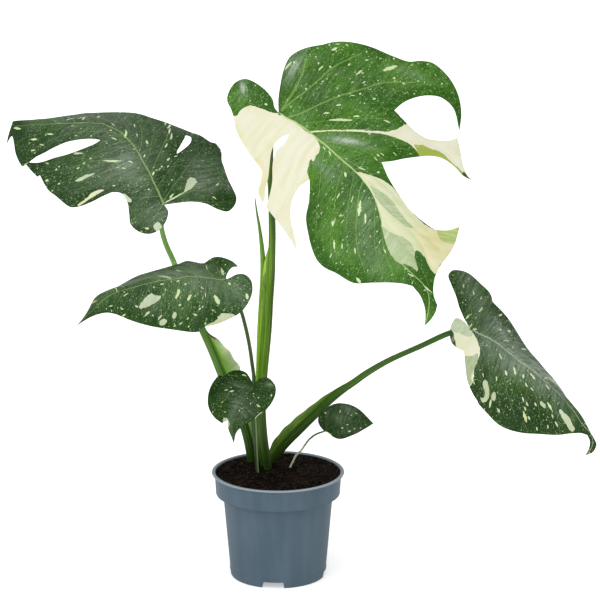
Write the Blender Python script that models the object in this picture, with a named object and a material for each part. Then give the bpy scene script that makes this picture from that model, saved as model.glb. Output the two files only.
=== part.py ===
# Potted monstera: six leaves on their stalks, a rolled new leaf, soil and a nursery pot.
# Metres, +Z up. The origin is the middle of the pot's underside, and the front faces -Y.
# Routes, outlines and spines are lists in millimetres; angles are in degrees.

import math

import bmesh
import bpy
import numpy as np
from mathutils import Vector, noise
from mathutils.geometry import delaunay_2d_cdt

MM = 0.001
GAP = 0.3                      # air between neighbouring pieces

# Pot
POT_HEIGHT = 122.0
LIP_RADIUS = 75.0              # outer radius of the rolled lip
COLLAR_RADIUS = 71.6           # tall collar under the lip
COLLAR_FOOT = 96.5             # height at which the collar steps in
BODY_TOP_RADIUS = 62.3
FOOT_RADIUS = 53.8
WALL = 1.4
SEGMENTS = 48                  # round the pot and the soil alike
CHANNELS = 4                   # drain channels under the floor, open at the foot
CHANNEL_TURN = -96.0           # bearing of the front channel
CHANNEL_WIDTH = 27.0
CHANNEL_HEIGHT = 7.3
CHANNEL_INNER_END = 17.0
DRAIN_RADIUS = 3.5
DRAIN_AT = 36.0

# Soil
SOIL_LEVEL = 120.2
MOUND_HEIGHT = 3.0             # low heap round the stalks
MOUND_CENTRE = (-17.0, 20.0)
MOUND_SPREAD = 30.0
LUMP = 0.9                     # height of the crumbs

# Leaves
BLADE = 0.9                    # blade thickness
RIPPLE = 0.9                   # waviness of the margin
EDGE_STEP = 7.5                # spacing of the points along a margin
SMALL_EDGE_STEP = 5.5          # the same for blades shorter than SMALL_BLADE
SMALL_BLADE = 90.0
SPINE_STEPS = 24

# Each leaf blade is a flat outline laid on a bent sheet.
# spine: the line of the midrib; it starts behind the notch, and its second point is the stalk's seat.
# face: (distance along the spine, bearing, elevation) of the upper side.
# left, right: (distance, fold down from the face, further bend over 100 mm) of each half.
# veins: (distance, angle to the midrib) of the side veins, along which the halves are bent.
# outline: strokes that meet at sharp corners, as (across, along) from the seat, anticlockwise.
# cell: spacing of the points inside the blade. seat_gap: how far below the blade its stalk ends.
LEAVES = {
    "top": {
        "spine": [(-36, 0, 556), (3, -12, 538), (74, -38, 492), (124, -78, 427), (163, -120, 355)],
        "face": [(0, -80, 25), (150, -75, 25), (290, -80, 15)],
        "left": [(-60, 2, 10), (0, 10, 8), (150, 14, 8), (290, 14, 6)],
        "right": [(-60, 2, 8), (0, 10, 8), (150, 10, 10), (290, 14, 6)],
        "left_veins": [(-60, 105), (0, 95), (150, 65), (290, 45)],
        "right_veins": [(-60, 105), (0, 95), (150, 65), (290, 45)],
        "cell": 12.5,
        "seat_gap": 0.76,
        "outline": [
            # basal lobe on the right, and the cream lobe that hangs below it
            [(0, -2), (-3, -9), (-10, -15), (-16, -26), (-19, -42), (-17, -54), (-8, -61), (4, -62),
             (14, -59), (21, -50), (26, -45)],
            [(26, -45), (38, -36), (47, -24), (54, -8), (59, 4), (64, 17), (73, 22), (86, 27), (94, 40)],
            [(94, 40), (86, 37), (78, 32), (67, 28), (55, 21.5), (42, 15), (30, 13), (20, 16), (14, 21)],
            # second cream lobe, in front of the stalk
            [(14, 21), (25, 22), (35, 19), (46, 21), (54, 25), (68, 34.5), (84, 42), (95, 46)],
            [(95, 46), (98, 58), (101, 74), (103, 92), (105, 112), (106, 132)],
            [(106, 132), (101, 117), (96, 102), (90, 88), (82, 77), (72, 70), (57, 67), (42, 72)],
            # right margin down to the tip
            [(42, 72), (50, 80), (61, 91), (74, 103), (83, 122), (89, 148), (90, 166), (86, 182),
             (78, 195), (66, 215), (45, 228), (28, 237), (15, 245), (8, 251)],
            [(8, 251), (5, 264), (6, 277), (9, 286), (15, 296)],
            [(15, 296), (6, 293), (-2, 288), (-8, 281)],
            # left side: broad third lobe
            [(-8, 281), (-9, 271), (-12, 263), (-20, 251), (-33, 240), (-49, 232), (-64, 223), (-81, 208)],
            [(-81, 208), (-62, 207), (-48, 201), (-39, 187), (-33, 172), (-30, 150), (-30, 130), (-34, 113)],
            # second lobe, narrow, with a thin tip
            [(-34, 113), (-46, 118), (-62, 123), (-79, 129), (-94, 135), (-106, 143), (-114, 154),
             (-119, 166), (-132, 177)],
            [(-132, 177), (-124, 169), (-125, 158), (-131, 147), (-138, 137)],
            [(-138, 137), (-128, 135), (-114, 129), (-101, 121), (-94, 110), (-91, 98), (-90, 87)],
            # first lobe, sickle-shaped, and the upper margin back to the seat
            [(-90, 87), (-105, 88), (-122, 92), (-139, 99), (-152, 108), (-157, 120), (-147, 134)],
            [(-147, 134), (-163, 126), (-175, 114), (-181, 100), (-178, 84), (-168, 75), (-155, 67),
             (-148, 54), (-141, 36), (-129, 18), (-113, -1), (-98, -13), (-83, -21), (-68, -25),
             (-50, -23), (-30, -17), (-13, -10), (0, -2)],
        ],
        "holes": [],
    },
    "left": {
        "spine": [(-117, -26, 419), (-127, -10, 436), (-142, 12, 467), (-157, 34, 488), (-179, 54, 505),
                  (-213, 72, 511), (-256, 82, 510), (-296, 86, 508)],
        "face": [(0, -75, 35), (110, -85, 50), (240, -90, 62)],
        "left": [(-60, 8, 6), (0, 8, 6), (110, 22, 4), (240, 40, 4)],
        "right": [(-60, 6, 8), (0, 8, 8), (60, 20, 8), (100, 35, 8), (160, 40, 8), (233, 42, 8)],
        "left_veins": [(-60, 115), (0, 105), (50, 88), (100, 62), (150, 44), (240, 35)],
        "right_veins": [(-60, 110), (0, 95), (120, 65), (240, 50)],
        "cell": 12.5,
        "seat_gap": 0.72,
        "outline": [
            [(1, -2), (15, -3), (34, -5), (50, -11), (60, -20), (70, -25), (80, -21), (88, -12), (91, 4),
             (95, 25), (103, 47), (110, 66), (109, 77)],
            [(109, 77), (101, 79), (97, 88), (90, 95), (88, 112), (86, 133), (79, 158), (68, 181),
             (52, 203), (32, 221), (12, 232), (-4, 237), (-16, 241), (-26, 243)],
            [(-26, 243), (-17, 237), (-27, 234), (-40, 231), (-52, 224), (-60, 215)],
            # long slit
            [(-60, 215), (-52, 206), (-46, 194), (-37, 181), (-29, 167), (-24, 150), (-21, 134), (-20, 119)],
            [(-20, 119), (-28, 122), (-37, 132), (-46, 150), (-52, 171), (-58, 190), (-66, 209)],
            [(-66, 209), (-80, 187), (-91, 163), (-101, 136), (-107, 113), (-107, 88), (-103, 60),
             (-97, 43), (-88, 36), (-74, 34), (-60, 35), (-48, 35)],
            [(-48, 35), (-39, 29), (-36, 16), (-39, 1), (-42, -11), (-37, -23), (-27, -30), (-15, -29),
             (-4, -21), (2, -11), (1, -2)],
        ],
        "holes": [[(47, 63), (52, 72), (62, 80), (74, 88), (81, 85), (74, 77), (60, 69)]],
    },
    "middle": {
        "spine": [(-38, -50, 373), (-58, -55, 361), (-79, -62, 367), (-112, -75, 370), (-144, -92, 369),
                  (-181, -115, 362), (-215, -140, 333)],
        "face": [(0, -90, 62), (100, -95, 62), (190, -110, 45)],
        "left": [(-40, 5, 30), (0, 15, 20), (40, 30, 12), (100, 35, 10), (190, 25, 6)],
        "right": [(-40, 14, 8), (0, 22, 8), (60, 33, 8), (120, 42, 8), (180, 50, 6)],
        "left_veins": [(-40, 100), (0, 85), (190, 50)],
        "right_veins": [(-40, 100), (0, 85), (190, 50)],
        "cell": 12.0,
        "seat_gap": 0.65,
        "outline": [
            [(0, -2), (4, -3), (11, -8), (14, -15), (8, -21)],
            [(8, -21), (22, -20), (38, -16), (53, -9), (63, 1), (67, 15), (66, 31), (64, 47), (59, 65),
             (51, 85), (42, 106), (32, 130), (23, 151), (12, 172), (0, 191)],
            [(0, 191), (-2, 183), (-5, 174), (-13, 160), (-24, 146), (-38, 127), (-50, 104), (-58, 80),
             (-63, 56), (-65, 38), (-64, 23), (-57, 12), (-47, 4), (-38, -6), (-29, -17), (-19, -23),
             (-8, -21), (-2, -14), (0, -2)],
        ],
        "holes": [],
    },
    "front": {
        "spine": [(-24, -42, 245), (-28, -50, 236), (-39, -62, 226), (-48, -78, 213), (-51, -92, 202),
                  (-48, -104, 188)],
        "face": [(0, -95, 35), (79, -100, 20)],
        "left": [(-30, 12, 10), (0, 12, 10), (79, 14, 8)],
        "right": [(-30, 12, 10), (0, 12, 10), (79, 14, 8)],
        "left_veins": [(-20, 100), (0, 90), (79, 50)],
        "right_veins": [(-20, 100), (0, 90), (79, 50)],
        "cell": 9.0,
        "seat_gap": 0.5,
        "outline": [
            [(0, -2), (5, -9), (15, -17), (27, -17), (36, -11), (42, 2), (42, 18), (38, 30), (31, 41),
             (21, 49), (11, 54)],
            [(11, 54), (5, 50)],
            [(5, 50), (3, 62), (1, 71), (0, 79)],
            [(0, 79), (-4, 69), (-10, 59), (-19, 43), (-26, 26), (-28, 8), (-26, -5), (-21, -13),
             (-13, -17), (-6, -14), (-2, -9), (0, -2)],
        ],
        "holes": [],
    },
    "small": {
        "spine": [(42, -12, 166.7), (52, -15, 173.7), (65, -20, 182.7), (81, -26, 188.7), (107, -34, 188.7)],
        "face": [(0, -90, 50), (59, -80, 45)],
        "left": [(-20, 10, 20), (0, 10, 20), (59, 12, 10)],
        "right": [(-20, 10, 20), (0, 10, 20), (59, 12, 10)],
        "left_veins": [(-20, 95), (0, 85), (59, 55)],
        "right_veins": [(-20, 95), (0, 85), (59, 55)],
        "cell": 8.0,
        "seat_gap": 0.36,
        "outline": [
            [(0, 0), (3, 3), (10, 7), (17, 15), (19, 27), (15, 43), (8, 53), (0, 62)],
            [(0, 62), (-9, 52), (-18, 42), (-27, 29), (-32, 18), (-32, 6), (-28, -3), (-19, -6),
             (-9, -4), (0, 0)],
        ],
        "holes": [],
    },
    "right": {
        "spine": [(202, -2, 308), (217, -5, 290), (248, -12, 276), (275, -22, 257), (304, -36, 238),
                  (328, -52, 216), (347, -70, 188)],
        "face": [(0, -85, 45), (100, -80, 50), (210, -60, 30)],
        "left": [(-60, 5, 8), (0, 22, 8), (50, 46, 8), (130, 62, 8), (181, 50, 6)],
        "right": [(-60, 10, 10), (0, 15, 10), (100, 15, 8), (210, 20, 6)],
        "left_veins": [(-60, 105), (0, 90), (60, 70), (190, 45)],
        "right_veins": [(-60, 105), (0, 90), (60, 70), (190, 45)],
        "cell": 12.0,
        "seat_gap": 1.08,
        "outline": [
            # front basal lobe, with the cream patch
            [(0, -3), (1, -14), (6, -21), (14, -18), (21, -12), (27, -4), (26, 5)],
            [(26, 5), (40, 11), (57, 20), (68, 34), (71, 52), (72, 76), (74, 98), (68, 116), (54, 138),
             (36, 159), (20, 170), (9, 176), (4, 181)],
            # curled tip
            [(4, 181), (5, 188), (10, 195), (18, 200)],
            [(18, 200), (9, 201), (1, 196), (-4, 187), (-5, 178)],
            # back half, which slopes away behind
            [(-5, 178), (-12, 168), (-24, 154), (-38, 134), (-47, 111), (-54, 90), (-59, 70), (-63, 50),
             (-67, 27), (-66, 4), (-61, -15), (-54, -32), (-46, -48), (-37, -58), (-28, -64), (-20, -63),
             (-16, -54), (-12, -40), (-6, -27), (-2, -14), (0, -3)],
        ],
        "holes": [],
    },
}

# Stalks: (x, y, z, radius, height of the sheath's thin wing) from inside the soil upwards.
# The last row is where the stalk leaves its route for its leaf's seat.
STALKS = {
    "petiole_top": [
        (-11, 6, 109, 4.4, 0), (-12, 5, 127, 4.6, 0), (-16, 2, 158, 4.8, 0), (-18, 0, 188, 4.6, 0),
        (-18, -1, 208, 4.5, 0), (-16, -1, 235, 4.4, 0), (-11, 0, 288, 4.3, 0), (-9, 0, 322, 4.2, 0),
        (-7, 0, 356, 4.0, 0), (-6, 0, 397, 4.0, 0), (-6.5, 1, 432, 3.8, 0), (-8, 2, 471, 3.5, 0),
        (-7, 1, 505, 3.3, 0), (-2.5, -3, 528, 2.9, 0)],
    "spear": [
        (-15, 14.5, 107, 3.2, 0), (-17, 14, 128, 3.4, 0), (-20, 12, 155, 3.6, 0), (-22, 10, 185, 3.7, 0),
        (-22.5, 8, 206, 3.8, 0), (-21, 8, 233, 4.0, 0), (-19, 6, 286, 4.2, 0), (-17, 4, 321, 4.2, 0),
        (-16, 4, 350, 3.6, 0), (-17, 2, 377, 2.7, 0), (-20, 0, 405, 1.8, 0), (-23, -2, 424, 1.1, 0),
        (-25, -4, 441, 0.5, 0)],
    "petiole_left": [
        (-29, 37, 99, 5.0, 1), (-30, 33, 122, 5.3, 2), (-34, 30, 149, 5.4, 3), (-39, 28, 168, 5.3, 6),
        (-51, 24, 198, 5.1, 12), (-63, 19, 229, 4.9, 17), (-70, 17, 248, 4.7, 14), (-77, 15, 266, 4.5, 8),
        (-83, 13, 280, 4.2, 0.5), (-103, 7, 330, 3.6, 0), (-116, 3, 366, 3.1, 0), (-125, 0, 389, 2.9, 0),
        (-129, -2, 408, 2.7, 0)],
    "petiole_middle": [
        (-18, 29, 106, 2.3, 0), (-20, 28, 126, 2.3, 0), (-23, 25, 143, 2.3, 0), (-27, 21, 160, 2.2, 0),
        (-29, 16, 178, 2.2, 0), (-31, 10, 196, 2.1, 0), (-30, 3, 214, 2.1, 0), (-27, -3, 229, 2.1, 0),
        (-29, -12, 254, 2.1, 0), (-32, -22, 279, 2.1, 0), (-36, -32, 302, 2.1, 0), (-41, -41, 323, 2.0, 0),
        (-49, -48, 342, 2.0, 0)],
    "petiole_front": [
        (-23, -4, 110, 1.9, 0), (-24, -6, 130, 1.9, 0), (-25, -12, 156, 1.9, 0), (-26, -20, 183, 1.9, 0),
        (-27, -31, 209, 1.8, 0)],
    "petiole_small": [
        (12, 15, 111, 1.2, 0), (13, 13, 120, 1.2, 0), (17, 10, 130, 1.2, 0), (21, 6.5, 139, 1.2, 0),
        (26, 3, 145, 1.2, 0), (31, 0, 153.5, 1.1, 0), (35, -3, 160, 1.1, 0), (40, -6.5, 165.5, 1.1, 0),
        (45, -10, 169.5, 1.1, 0)],
    "petiole_right": [
        (-9, 30, 101, 4.6, 2), (-5, 27, 126, 4.8, 4), (7, 24, 145, 5.0, 8), (24, 22, 164, 5.2, 8.5),
        (42, 20, 183, 5.0, 6), (58, 17, 200, 4.6, 3.5), (74, 15, 214, 4.2, 0.8), (86, 13, 223, 3.9, 0),
        (100, 11, 234, 3.7, 0), (125, 8, 250, 3.2, 0), (160, 6, 267, 3.1, 0), (191, 5, 282, 3.2, 0),
        (208, 4, 287, 3.0, 0)],
}
WING_SIDE = {"petiole_left": (0.92, 0.0, 0.39), "petiole_right": (-0.65, -0.1, 0.76)}
SEAT_RADIUS = 1.8              # a stalk narrows to this at its leaf
RING_SPACING = 13.0
HOLE_TOP = 150.0               # the soil's holes are cut with the stalks up to this height

COLOURS = {
    "pot": ((0.12, 0.17, 0.21), 0.42),
    "soil": ((0.02, 0.013, 0.009), 0.95),
    "stalk": ((0.12, 0.25, 0.05), 0.45),
    "blade": ((0.06, 0.16, 0.04), 0.4),
}


def clear_scene():
    for old in list(bpy.data.objects):
        bpy.data.objects.remove(old, do_unlink=True)


def make_material(name):
    colour, roughness = COLOURS[name]
    material = bpy.data.materials.new(name)
    material.use_nodes = True
    shader = material.node_tree.nodes["Principled BSDF"]
    shader.inputs["Base Color"].default_value = (*colour, 1.0)
    shader.inputs["Roughness"].default_value = roughness
    shader.inputs["Metallic"].default_value = 0.0
    return material


def make_object(name, points, faces, material=None, sharp=40.0):
    """Link a mesh given in millimetres as a smooth-shaded object in metres."""
    mesh = bpy.data.meshes.new(name)
    mesh.from_pydata([tuple(float(c) * MM for c in p) for p in points], [], faces)
    mesh.validate()
    mesh.shade_smooth()
    mesh.set_sharp_from_angle(angle=math.radians(sharp))
    thing = bpy.data.objects.new(name, mesh)
    bpy.context.scene.collection.objects.link(thing)
    if material is not None:
        mesh.materials.append(material)
    return thing


def hide_tool(thing):
    thing.hide_render = True
    thing.display_type = "WIRE"


def cut(thing, tool):
    boolean = thing.modifiers.new("cut " + tool.name, "BOOLEAN")
    boolean.operation = "DIFFERENCE"
    boolean.solver = "EXACT"
    boolean.object = tool


def smooth_curve(points, steps=SPINE_STEPS):
    """Centripetal Catmull-Rom curve through the points, with equal steps between neighbours."""
    pts = np.asarray(points, float)
    pts = np.vstack([2 * pts[0] - pts[1], pts, 2 * pts[-1] - pts[-2]])
    curve = []
    for a, b, c, d in zip(pts[:-3], pts[1:-2], pts[2:-1], pts[3:]):
        t0 = 0.0
        t1 = t0 + math.sqrt(np.linalg.norm(b - a))
        t2 = t1 + math.sqrt(np.linalg.norm(c - b))
        t3 = t2 + math.sqrt(np.linalg.norm(d - c))
        for t in np.linspace(t1, t2, steps, endpoint=False):
            ab = ((t1 - t) * a + (t - t0) * b) / (t1 - t0)
            bc = ((t2 - t) * b + (t - t1) * c) / (t2 - t1)
            cd = ((t3 - t) * c + (t - t2) * d) / (t3 - t2)
            abc = ((t2 - t) * ab + (t - t0) * bc) / (t2 - t0)
            bcd = ((t3 - t) * bc + (t - t1) * cd) / (t3 - t1)
            curve.append(((t2 - t) * abc + (t - t1) * bcd) / (t2 - t1))
    curve.append(pts[-2])
    return np.array(curve)


def arc_lengths(curve):
    steps = np.linalg.norm(np.diff(curve, axis=0), axis=1)
    return np.concatenate([[0.0], np.cumsum(steps)])


def unit(vectors):
    return vectors / np.linalg.norm(vectors, axis=-1, keepdims=True)


def direction(bearing, elevation):
    turn = np.radians(bearing)
    rise = np.radians(elevation)
    return np.stack([np.cos(rise) * np.cos(turn), np.cos(rise) * np.sin(turn), np.sin(rise)], -1)


def ease(at, rows, column):
    """Value of a column of the rows at each distance, eased between the rows."""
    table = np.asarray(rows, float)
    stations = table[:, 0]
    values = np.asarray(column, float)
    at = np.clip(at, stations[0], stations[-1])
    low = np.clip(np.searchsorted(stations, at, side="right") - 1, 0, len(stations) - 2)
    t = (at - stations[low]) / (stations[low + 1] - stations[low])
    t = t * t * (3 - 2 * t)
    return values[low] * (1 - t) + values[low + 1] * t


class BentSheet:
    """The bent surface that a flat leaf outline is laid on."""

    def __init__(self, leaf):
        self.leaf = leaf
        self.line = smooth_curve(leaf["spine"])
        lengths = arc_lengths(self.line)
        self.along = lengths - lengths[SPINE_STEPS]

    def spine(self, v):
        start = self.along[0]
        end = self.along[-1]
        on_line = np.stack([np.interp(v, self.along, self.line[:, i]) for i in range(3)], -1)
        behind = unit(self.line[3] - self.line[0])
        ahead = unit(self.line[-1] - self.line[-4])
        over = np.maximum(v - end, 0.0)[..., None]
        under = np.minimum(v - start, 0.0)[..., None]
        return on_line + over * ahead + under * behind

    def tangent(self, v):
        return unit(self.spine(v + 2.0) - self.spine(v - 2.0))

    def face(self, v):
        rows = np.asarray(self.leaf["face"], float)
        ways = direction(rows[:, 1], rows[:, 2])
        return np.stack([ease(v, rows, ways[:, i]) for i in range(3)], -1)

    def vein_angle(self, v, side):
        rows = np.asarray(self.leaf[side + "_veins"], float)
        return np.radians(ease(v, rows, rows[:, 1]))

    def vein_foot(self, x, y, side):
        """Where on the midrib the side vein through (x, y) starts."""
        low = y - 400.0
        high = y + 400.0
        for _ in range(40):
            middle = (low + high) / 2
            angle = self.vein_angle(middle, side)
            ahead = (y - middle) * np.sin(angle) - np.abs(x) * np.cos(angle) > 0
            low = np.where(ahead, middle, low)
            high = np.where(ahead, high, middle)
        return (low + high) / 2

    def half(self, x, y, side):
        sign = 1.0 if side == "right" else -1.0
        v = self.vein_foot(x, y, side)
        reach = np.hypot(x, y - v)
        along = self.tangent(v)
        normal = self.face(v)
        normal = unit(normal - np.sum(normal * along, -1, keepdims=True) * along)
        across = np.cross(along, normal) * sign
        rows = np.asarray(self.leaf[side], float)
        fold = np.radians(ease(v, rows, rows[:, 1]))[:, None]
        bend = np.radians(ease(v, rows, rows[:, 2])) / 100.0
        angle = self.vein_angle(v, side)[:, None]
        way = np.cos(angle) * along + np.sin(angle) * (np.cos(fold) * across - np.sin(fold) * normal)
        under = unit(np.cross(along, way)) * sign
        turn = bend * reach / 2
        chord = reach * np.sinc(turn / math.pi)
        out = (chord * np.cos(turn))[:, None] * way
        down = (chord * np.sin(turn))[:, None] * under
        return self.spine(v) + out + down

    def points(self, flat):
        x = flat[:, 0]
        y = flat[:, 1]
        out = np.empty((len(flat), 3))
        on_right = x >= 0
        out[on_right] = self.half(x[on_right], y[on_right], "right")
        out[~on_right] = self.half(x[~on_right], y[~on_right], "left")
        return out

    def seat(self):
        """The point where the stalk meets the blade, and the way the upper side faces there."""
        patch = self.points(np.array([(0.0, 0.0), (2.0, 3.0), (-2.0, 3.0)]))
        normal = unit(np.cross(patch[1] - patch[0], patch[2] - patch[0]))
        return patch[0], normal


def resample(stroke, spacing):
    curve = smooth_curve(stroke, 10) if len(stroke) > 2 else np.asarray(stroke, float)
    lengths = arc_lengths(curve)
    count = max(2, int(round(lengths[-1] / spacing)) + 1)
    at = np.linspace(0, lengths[-1], count)
    return np.stack([np.interp(at, lengths, curve[:, i]) for i in range(2)], -1)


def closed_loop(strokes, spacing):
    return np.vstack([resample(stroke, spacing)[:-1] for stroke in strokes])


def inside(points, loop):
    x, y = points[:, 0], points[:, 1]
    hit = np.zeros(len(points), bool)
    for (x0, y0), (x1, y1) in zip(loop, np.roll(loop, -1, axis=0)):
        if y0 != y1:
            crossing = x0 + (y - y0) * (x1 - x0) / (y1 - y0)
            hit ^= ((y0 > y) != (y1 > y)) & (x < crossing)
    return hit


def distance_to(points, loop):
    best = np.full(len(points), 1e9)
    for a, b in zip(loop, np.roll(loop, -1, axis=0)):
        edge = b - a
        t = np.clip(((points - a) @ edge) / (edge @ edge), 0, 1)
        best = np.minimum(best, np.linalg.norm(points - a - t[:, None] * edge, axis=1))
    return best


def flat_mesh(leaf):
    """Triangulate the flat outline, with points on the midrib and a staggered grid inside."""
    cell = leaf["cell"]
    length = max(y for stroke in leaf["outline"] for _, y in stroke)
    step = EDGE_STEP if length > SMALL_BLADE else SMALL_EDGE_STEP
    loops = [closed_loop(leaf["outline"], step)]
    loops += [closed_loop([hole + hole[:1]], step) for hole in leaf["holes"]]
    low = loops[0].min(axis=0)
    high = loops[0].max(axis=0)
    grid = []
    for row, y in enumerate(np.arange(low[1], high[1], cell * 0.87)):
        shift = 0.5 * cell * (row % 2)
        for x in np.arange(math.floor(low[0] / cell) * cell, high[0], cell):
            if abs(x + shift) > cell * 0.4:
                grid.append((x + shift, y))
    grid += [(0.0, y) for y in np.arange(cell, high[1], cell * 0.87)]
    grid = np.array(grid)
    keep = inside(grid, loops[0]) & (distance_to(grid, loops[0]) > cell * 0.45)
    for hole in loops[1:]:
        keep &= ~inside(grid, hole) & (distance_to(grid, hole) > cell * 0.45)
    points = list(map(tuple, grid[keep]))
    edges = []
    for loop in loops:
        first = len(points)
        count = len(loop)
        points += list(map(tuple, loop))
        edges += [(first + i, first + (i + 1) % count) for i in range(count)]
    result = delaunay_2d_cdt([Vector(p) for p in points], edges, [], 0, 1e-6)
    flat = np.array([tuple(p) for p in result[0]])
    triangles = np.array([tuple(t) for t in result[2]])
    centres = flat[triangles].mean(axis=1)
    keep = inside(centres, loops[0])
    for hole in loops[1:]:
        keep &= ~inside(centres, hole)
    triangles = triangles[keep]
    used = np.unique(triangles)
    index = np.full(len(flat), -1)
    index[used] = np.arange(len(used))
    return flat[used], index[triangles]


def thicken(points, triangles, thickness):
    """Close a triangulated surface into a plate, split alike on both faces."""
    corners = points[triangles]
    face_normals = np.cross(corners[:, 1] - corners[:, 0], corners[:, 2] - corners[:, 0])
    normals = np.zeros_like(points)
    for i in range(3):
        np.add.at(normals, triangles[:, i], face_normals)
    normals = unit(normals)
    count = len(points)
    solid = np.vstack([points + normals * thickness / 2, points - normals * thickness / 2])
    faces = [tuple(t) for t in triangles]
    faces += [(c + count, b + count, a + count) for a, b, c in triangles]
    directed = {(t[i], t[(i + 1) % 3]) for t in triangles for i in range(3)}
    for a, b in sorted(directed):
        if (b, a) not in directed:
            faces.append((b, a, a + count))
            faces.append((b, a + count, b + count))
    return solid, [tuple(int(i) for i in f) for f in faces]


def ripple(flat, seed):
    """Slow waves that grow towards the margin."""
    across = np.abs(flat[:, 0]) / 80.0
    waves = np.sin(flat[:, 1] / 13.0 + seed)
    waves += 0.6 * np.sin(flat[:, 1] / 7.0 + flat[:, 0] / 17.0 + 2 * seed)
    return RIPPLE * np.minimum(across, 1.2) ** 2 * waves


def build_leaf(name, leaf, seed, material):
    flat, triangles = flat_mesh(leaf)
    sheet = BentSheet(leaf)
    points = sheet.points(flat)
    across = sheet.points(flat + np.array([0.5, 0.0])) - points
    along = sheet.points(flat + np.array([0.0, 0.5])) - points
    points = points + unit(np.cross(across, along)) * ripple(flat, seed)[:, None]
    solid, faces = thicken(points, triangles, BLADE)
    make_object("leaf_" + name, solid, faces, material)


def section(radius, wing, winged, sides, grow):
    """Cross-section of a stalk: a circle, or a circle with a thin wing towards its first axis."""
    radius = radius + grow
    if not winged:
        turns = [2 * math.pi * i / sides for i in range(sides)]
        return [(radius * math.cos(a), radius * math.sin(a)) for a in turns]
    half = 0.45 + grow
    root = math.radians(32)
    turns = [root + (2 * math.pi - 2 * root) * i / (sides - 1) for i in range(sides)]
    ring = [(radius * math.cos(a), radius * math.sin(a)) for a in turns]
    tip = radius + wing
    waist = radius + 0.3 * wing
    return ring + [(waist, -half - 0.5), (tip, -half), (tip, half), (waist, half + 0.5)]


def stalk_route(name):
    """Rows of a stalk, with the seat under its leaf added at the upper end."""
    rows = [tuple(row) for row in STALKS[name]]
    leaf_name = name.replace("petiole_", "")
    if leaf_name in LEAVES:
        seat, normal = BentSheet(LEAVES[leaf_name]).seat()
        last = np.array(rows[-1][:3], float)
        radius = min(SEAT_RADIUS, 0.85 * rows[-1][3])
        way = unit(seat - last)
        lean = math.sqrt(max(0.0, 1.0 - float(way @ normal) ** 2))
        end = seat - normal * (BLADE / 2 + radius * lean + LEAVES[leaf_name]["seat_gap"])
        rows.append((*end, radius, 0))
    return rows


def sweep(name, rows, sides, wing_side, grow=0.0, up_to=None):
    """Skin the stalk's cross-sections along its smooth route."""
    table = np.array(rows, float)
    curve = smooth_curve(table, 12)
    lengths = arc_lengths(curve[:, :3])
    count = int(lengths[-1] / RING_SPACING) + 2
    at = np.linspace(0, lengths[-1], count)
    rings = np.stack([np.interp(at, lengths, curve[:, i]) for i in range(5)], -1)
    tangents = unit(np.gradient(rings[:, :3], axis=0))
    rings[0, :3] -= tangents[0] * grow
    winged = bool(table[:, 4].max() > 0)
    aim = np.array(wing_side, float)
    points = []
    for ring, tangent in zip(rings, tangents):
        if up_to is not None and ring[2] > up_to:
            break
        first = unit(aim - (aim @ tangent) * tangent)
        second = np.cross(tangent, first)
        for a, b in section(ring[3], max(ring[4], 0.0), winged, sides, grow):
            points.append(ring[:3] + a * first + b * second)
    size = sides + 4 if winged else sides
    total = len(points) // size
    faces = [tuple(reversed(range(size)))]
    for k in range(total - 1):
        for i in range(size):
            j = (i + 1) % size
            faces.append((k * size + i, k * size + j, (k + 1) * size + j, (k + 1) * size + i))
    faces.append(tuple(range((total - 1) * size, total * size)))
    return points, faces


def stalk_sides(name):
    thickest = max(row[3] for row in STALKS[name])
    return 12 if thickest > 4.0 else 8


def build_stalk(name, material):
    points, faces = sweep(name, stalk_route(name), stalk_sides(name), WING_SIDE.get(name, (1, 0, 0)))
    make_object(name, points, faces, material)


def hole_tool(name):
    side = WING_SIDE.get(name, (1, 0, 0))
    points, faces = sweep(name, stalk_route(name), stalk_sides(name), side, GAP + 0.05, HOLE_TOP)
    tool = make_object("hole for " + name, points, faces)
    hide_tool(tool)
    return tool


def lathe(profile, segments):
    """Turn a closed profile of (radius, height), whose ends lie on the axis, from bottom to top."""
    points = [(0.0, 0.0, profile[0][1])]
    middle = profile[1:-1]
    for radius, height in middle:
        for k in range(segments):
            a = 2 * math.pi * k / segments
            points.append((radius * math.cos(a), radius * math.sin(a), height))
    points.append((0.0, 0.0, profile[-1][1]))
    last = len(points) - 1
    faces = []
    for k in range(segments):
        n = (k + 1) % segments
        faces.append((0, 1 + n, 1 + k))
        for r in range(len(middle) - 1):
            base = 1 + r * segments
            faces.append((base + k, base + n, base + segments + n, base + segments + k))
        top = 1 + (len(middle) - 1) * segments
        faces.append((top + k, top + n, last))
    return points, faces


def body_radius(height):
    return FOOT_RADIUS + (BODY_TOP_RADIUS - FOOT_RADIUS) * height / COLLAR_FOOT


def outer_profile():
    lip = LIP_RADIUS
    top = POT_HEIGHT
    return [
        (0, 0), (FOOT_RADIUS - 3.2, 0), (FOOT_RADIUS - 1.2, 0.7), (FOOT_RADIUS - 0.1, 3.0),
        (body_radius(8.0), 8.0), (body_radius(50.0), 50.0), (BODY_TOP_RADIUS, COLLAR_FOOT),
        (COLLAR_RADIUS - 2.0, COLLAR_FOOT), (COLLAR_RADIUS - 1.2, COLLAR_FOOT + 0.9),
        (COLLAR_RADIUS, top - 5.5), (lip - 1.4, top - 4.6), (lip - 0.3, top - 3.6), (lip, top - 2.0),
        (lip - 0.5, top - 0.6), (lip - 1.8, top), (0, top)]


def inner_profile(shrink, top):
    """The room inside the pot, drawn in by a clearance."""
    step = COLLAR_FOOT + WALL + shrink
    foot = WALL + shrink
    return [
        (0, foot), (FOOT_RADIUS - 5.0 - shrink, foot), (body_radius(6.0) - WALL - shrink, 6.0 + shrink),
        (BODY_TOP_RADIUS - WALL - shrink, step - 1.5), (BODY_TOP_RADIUS - WALL - shrink + 0.4, step),
        (COLLAR_RADIUS - 1.2 - WALL - shrink, step), (COLLAR_RADIUS - WALL - shrink, top - 3.4)]


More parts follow.
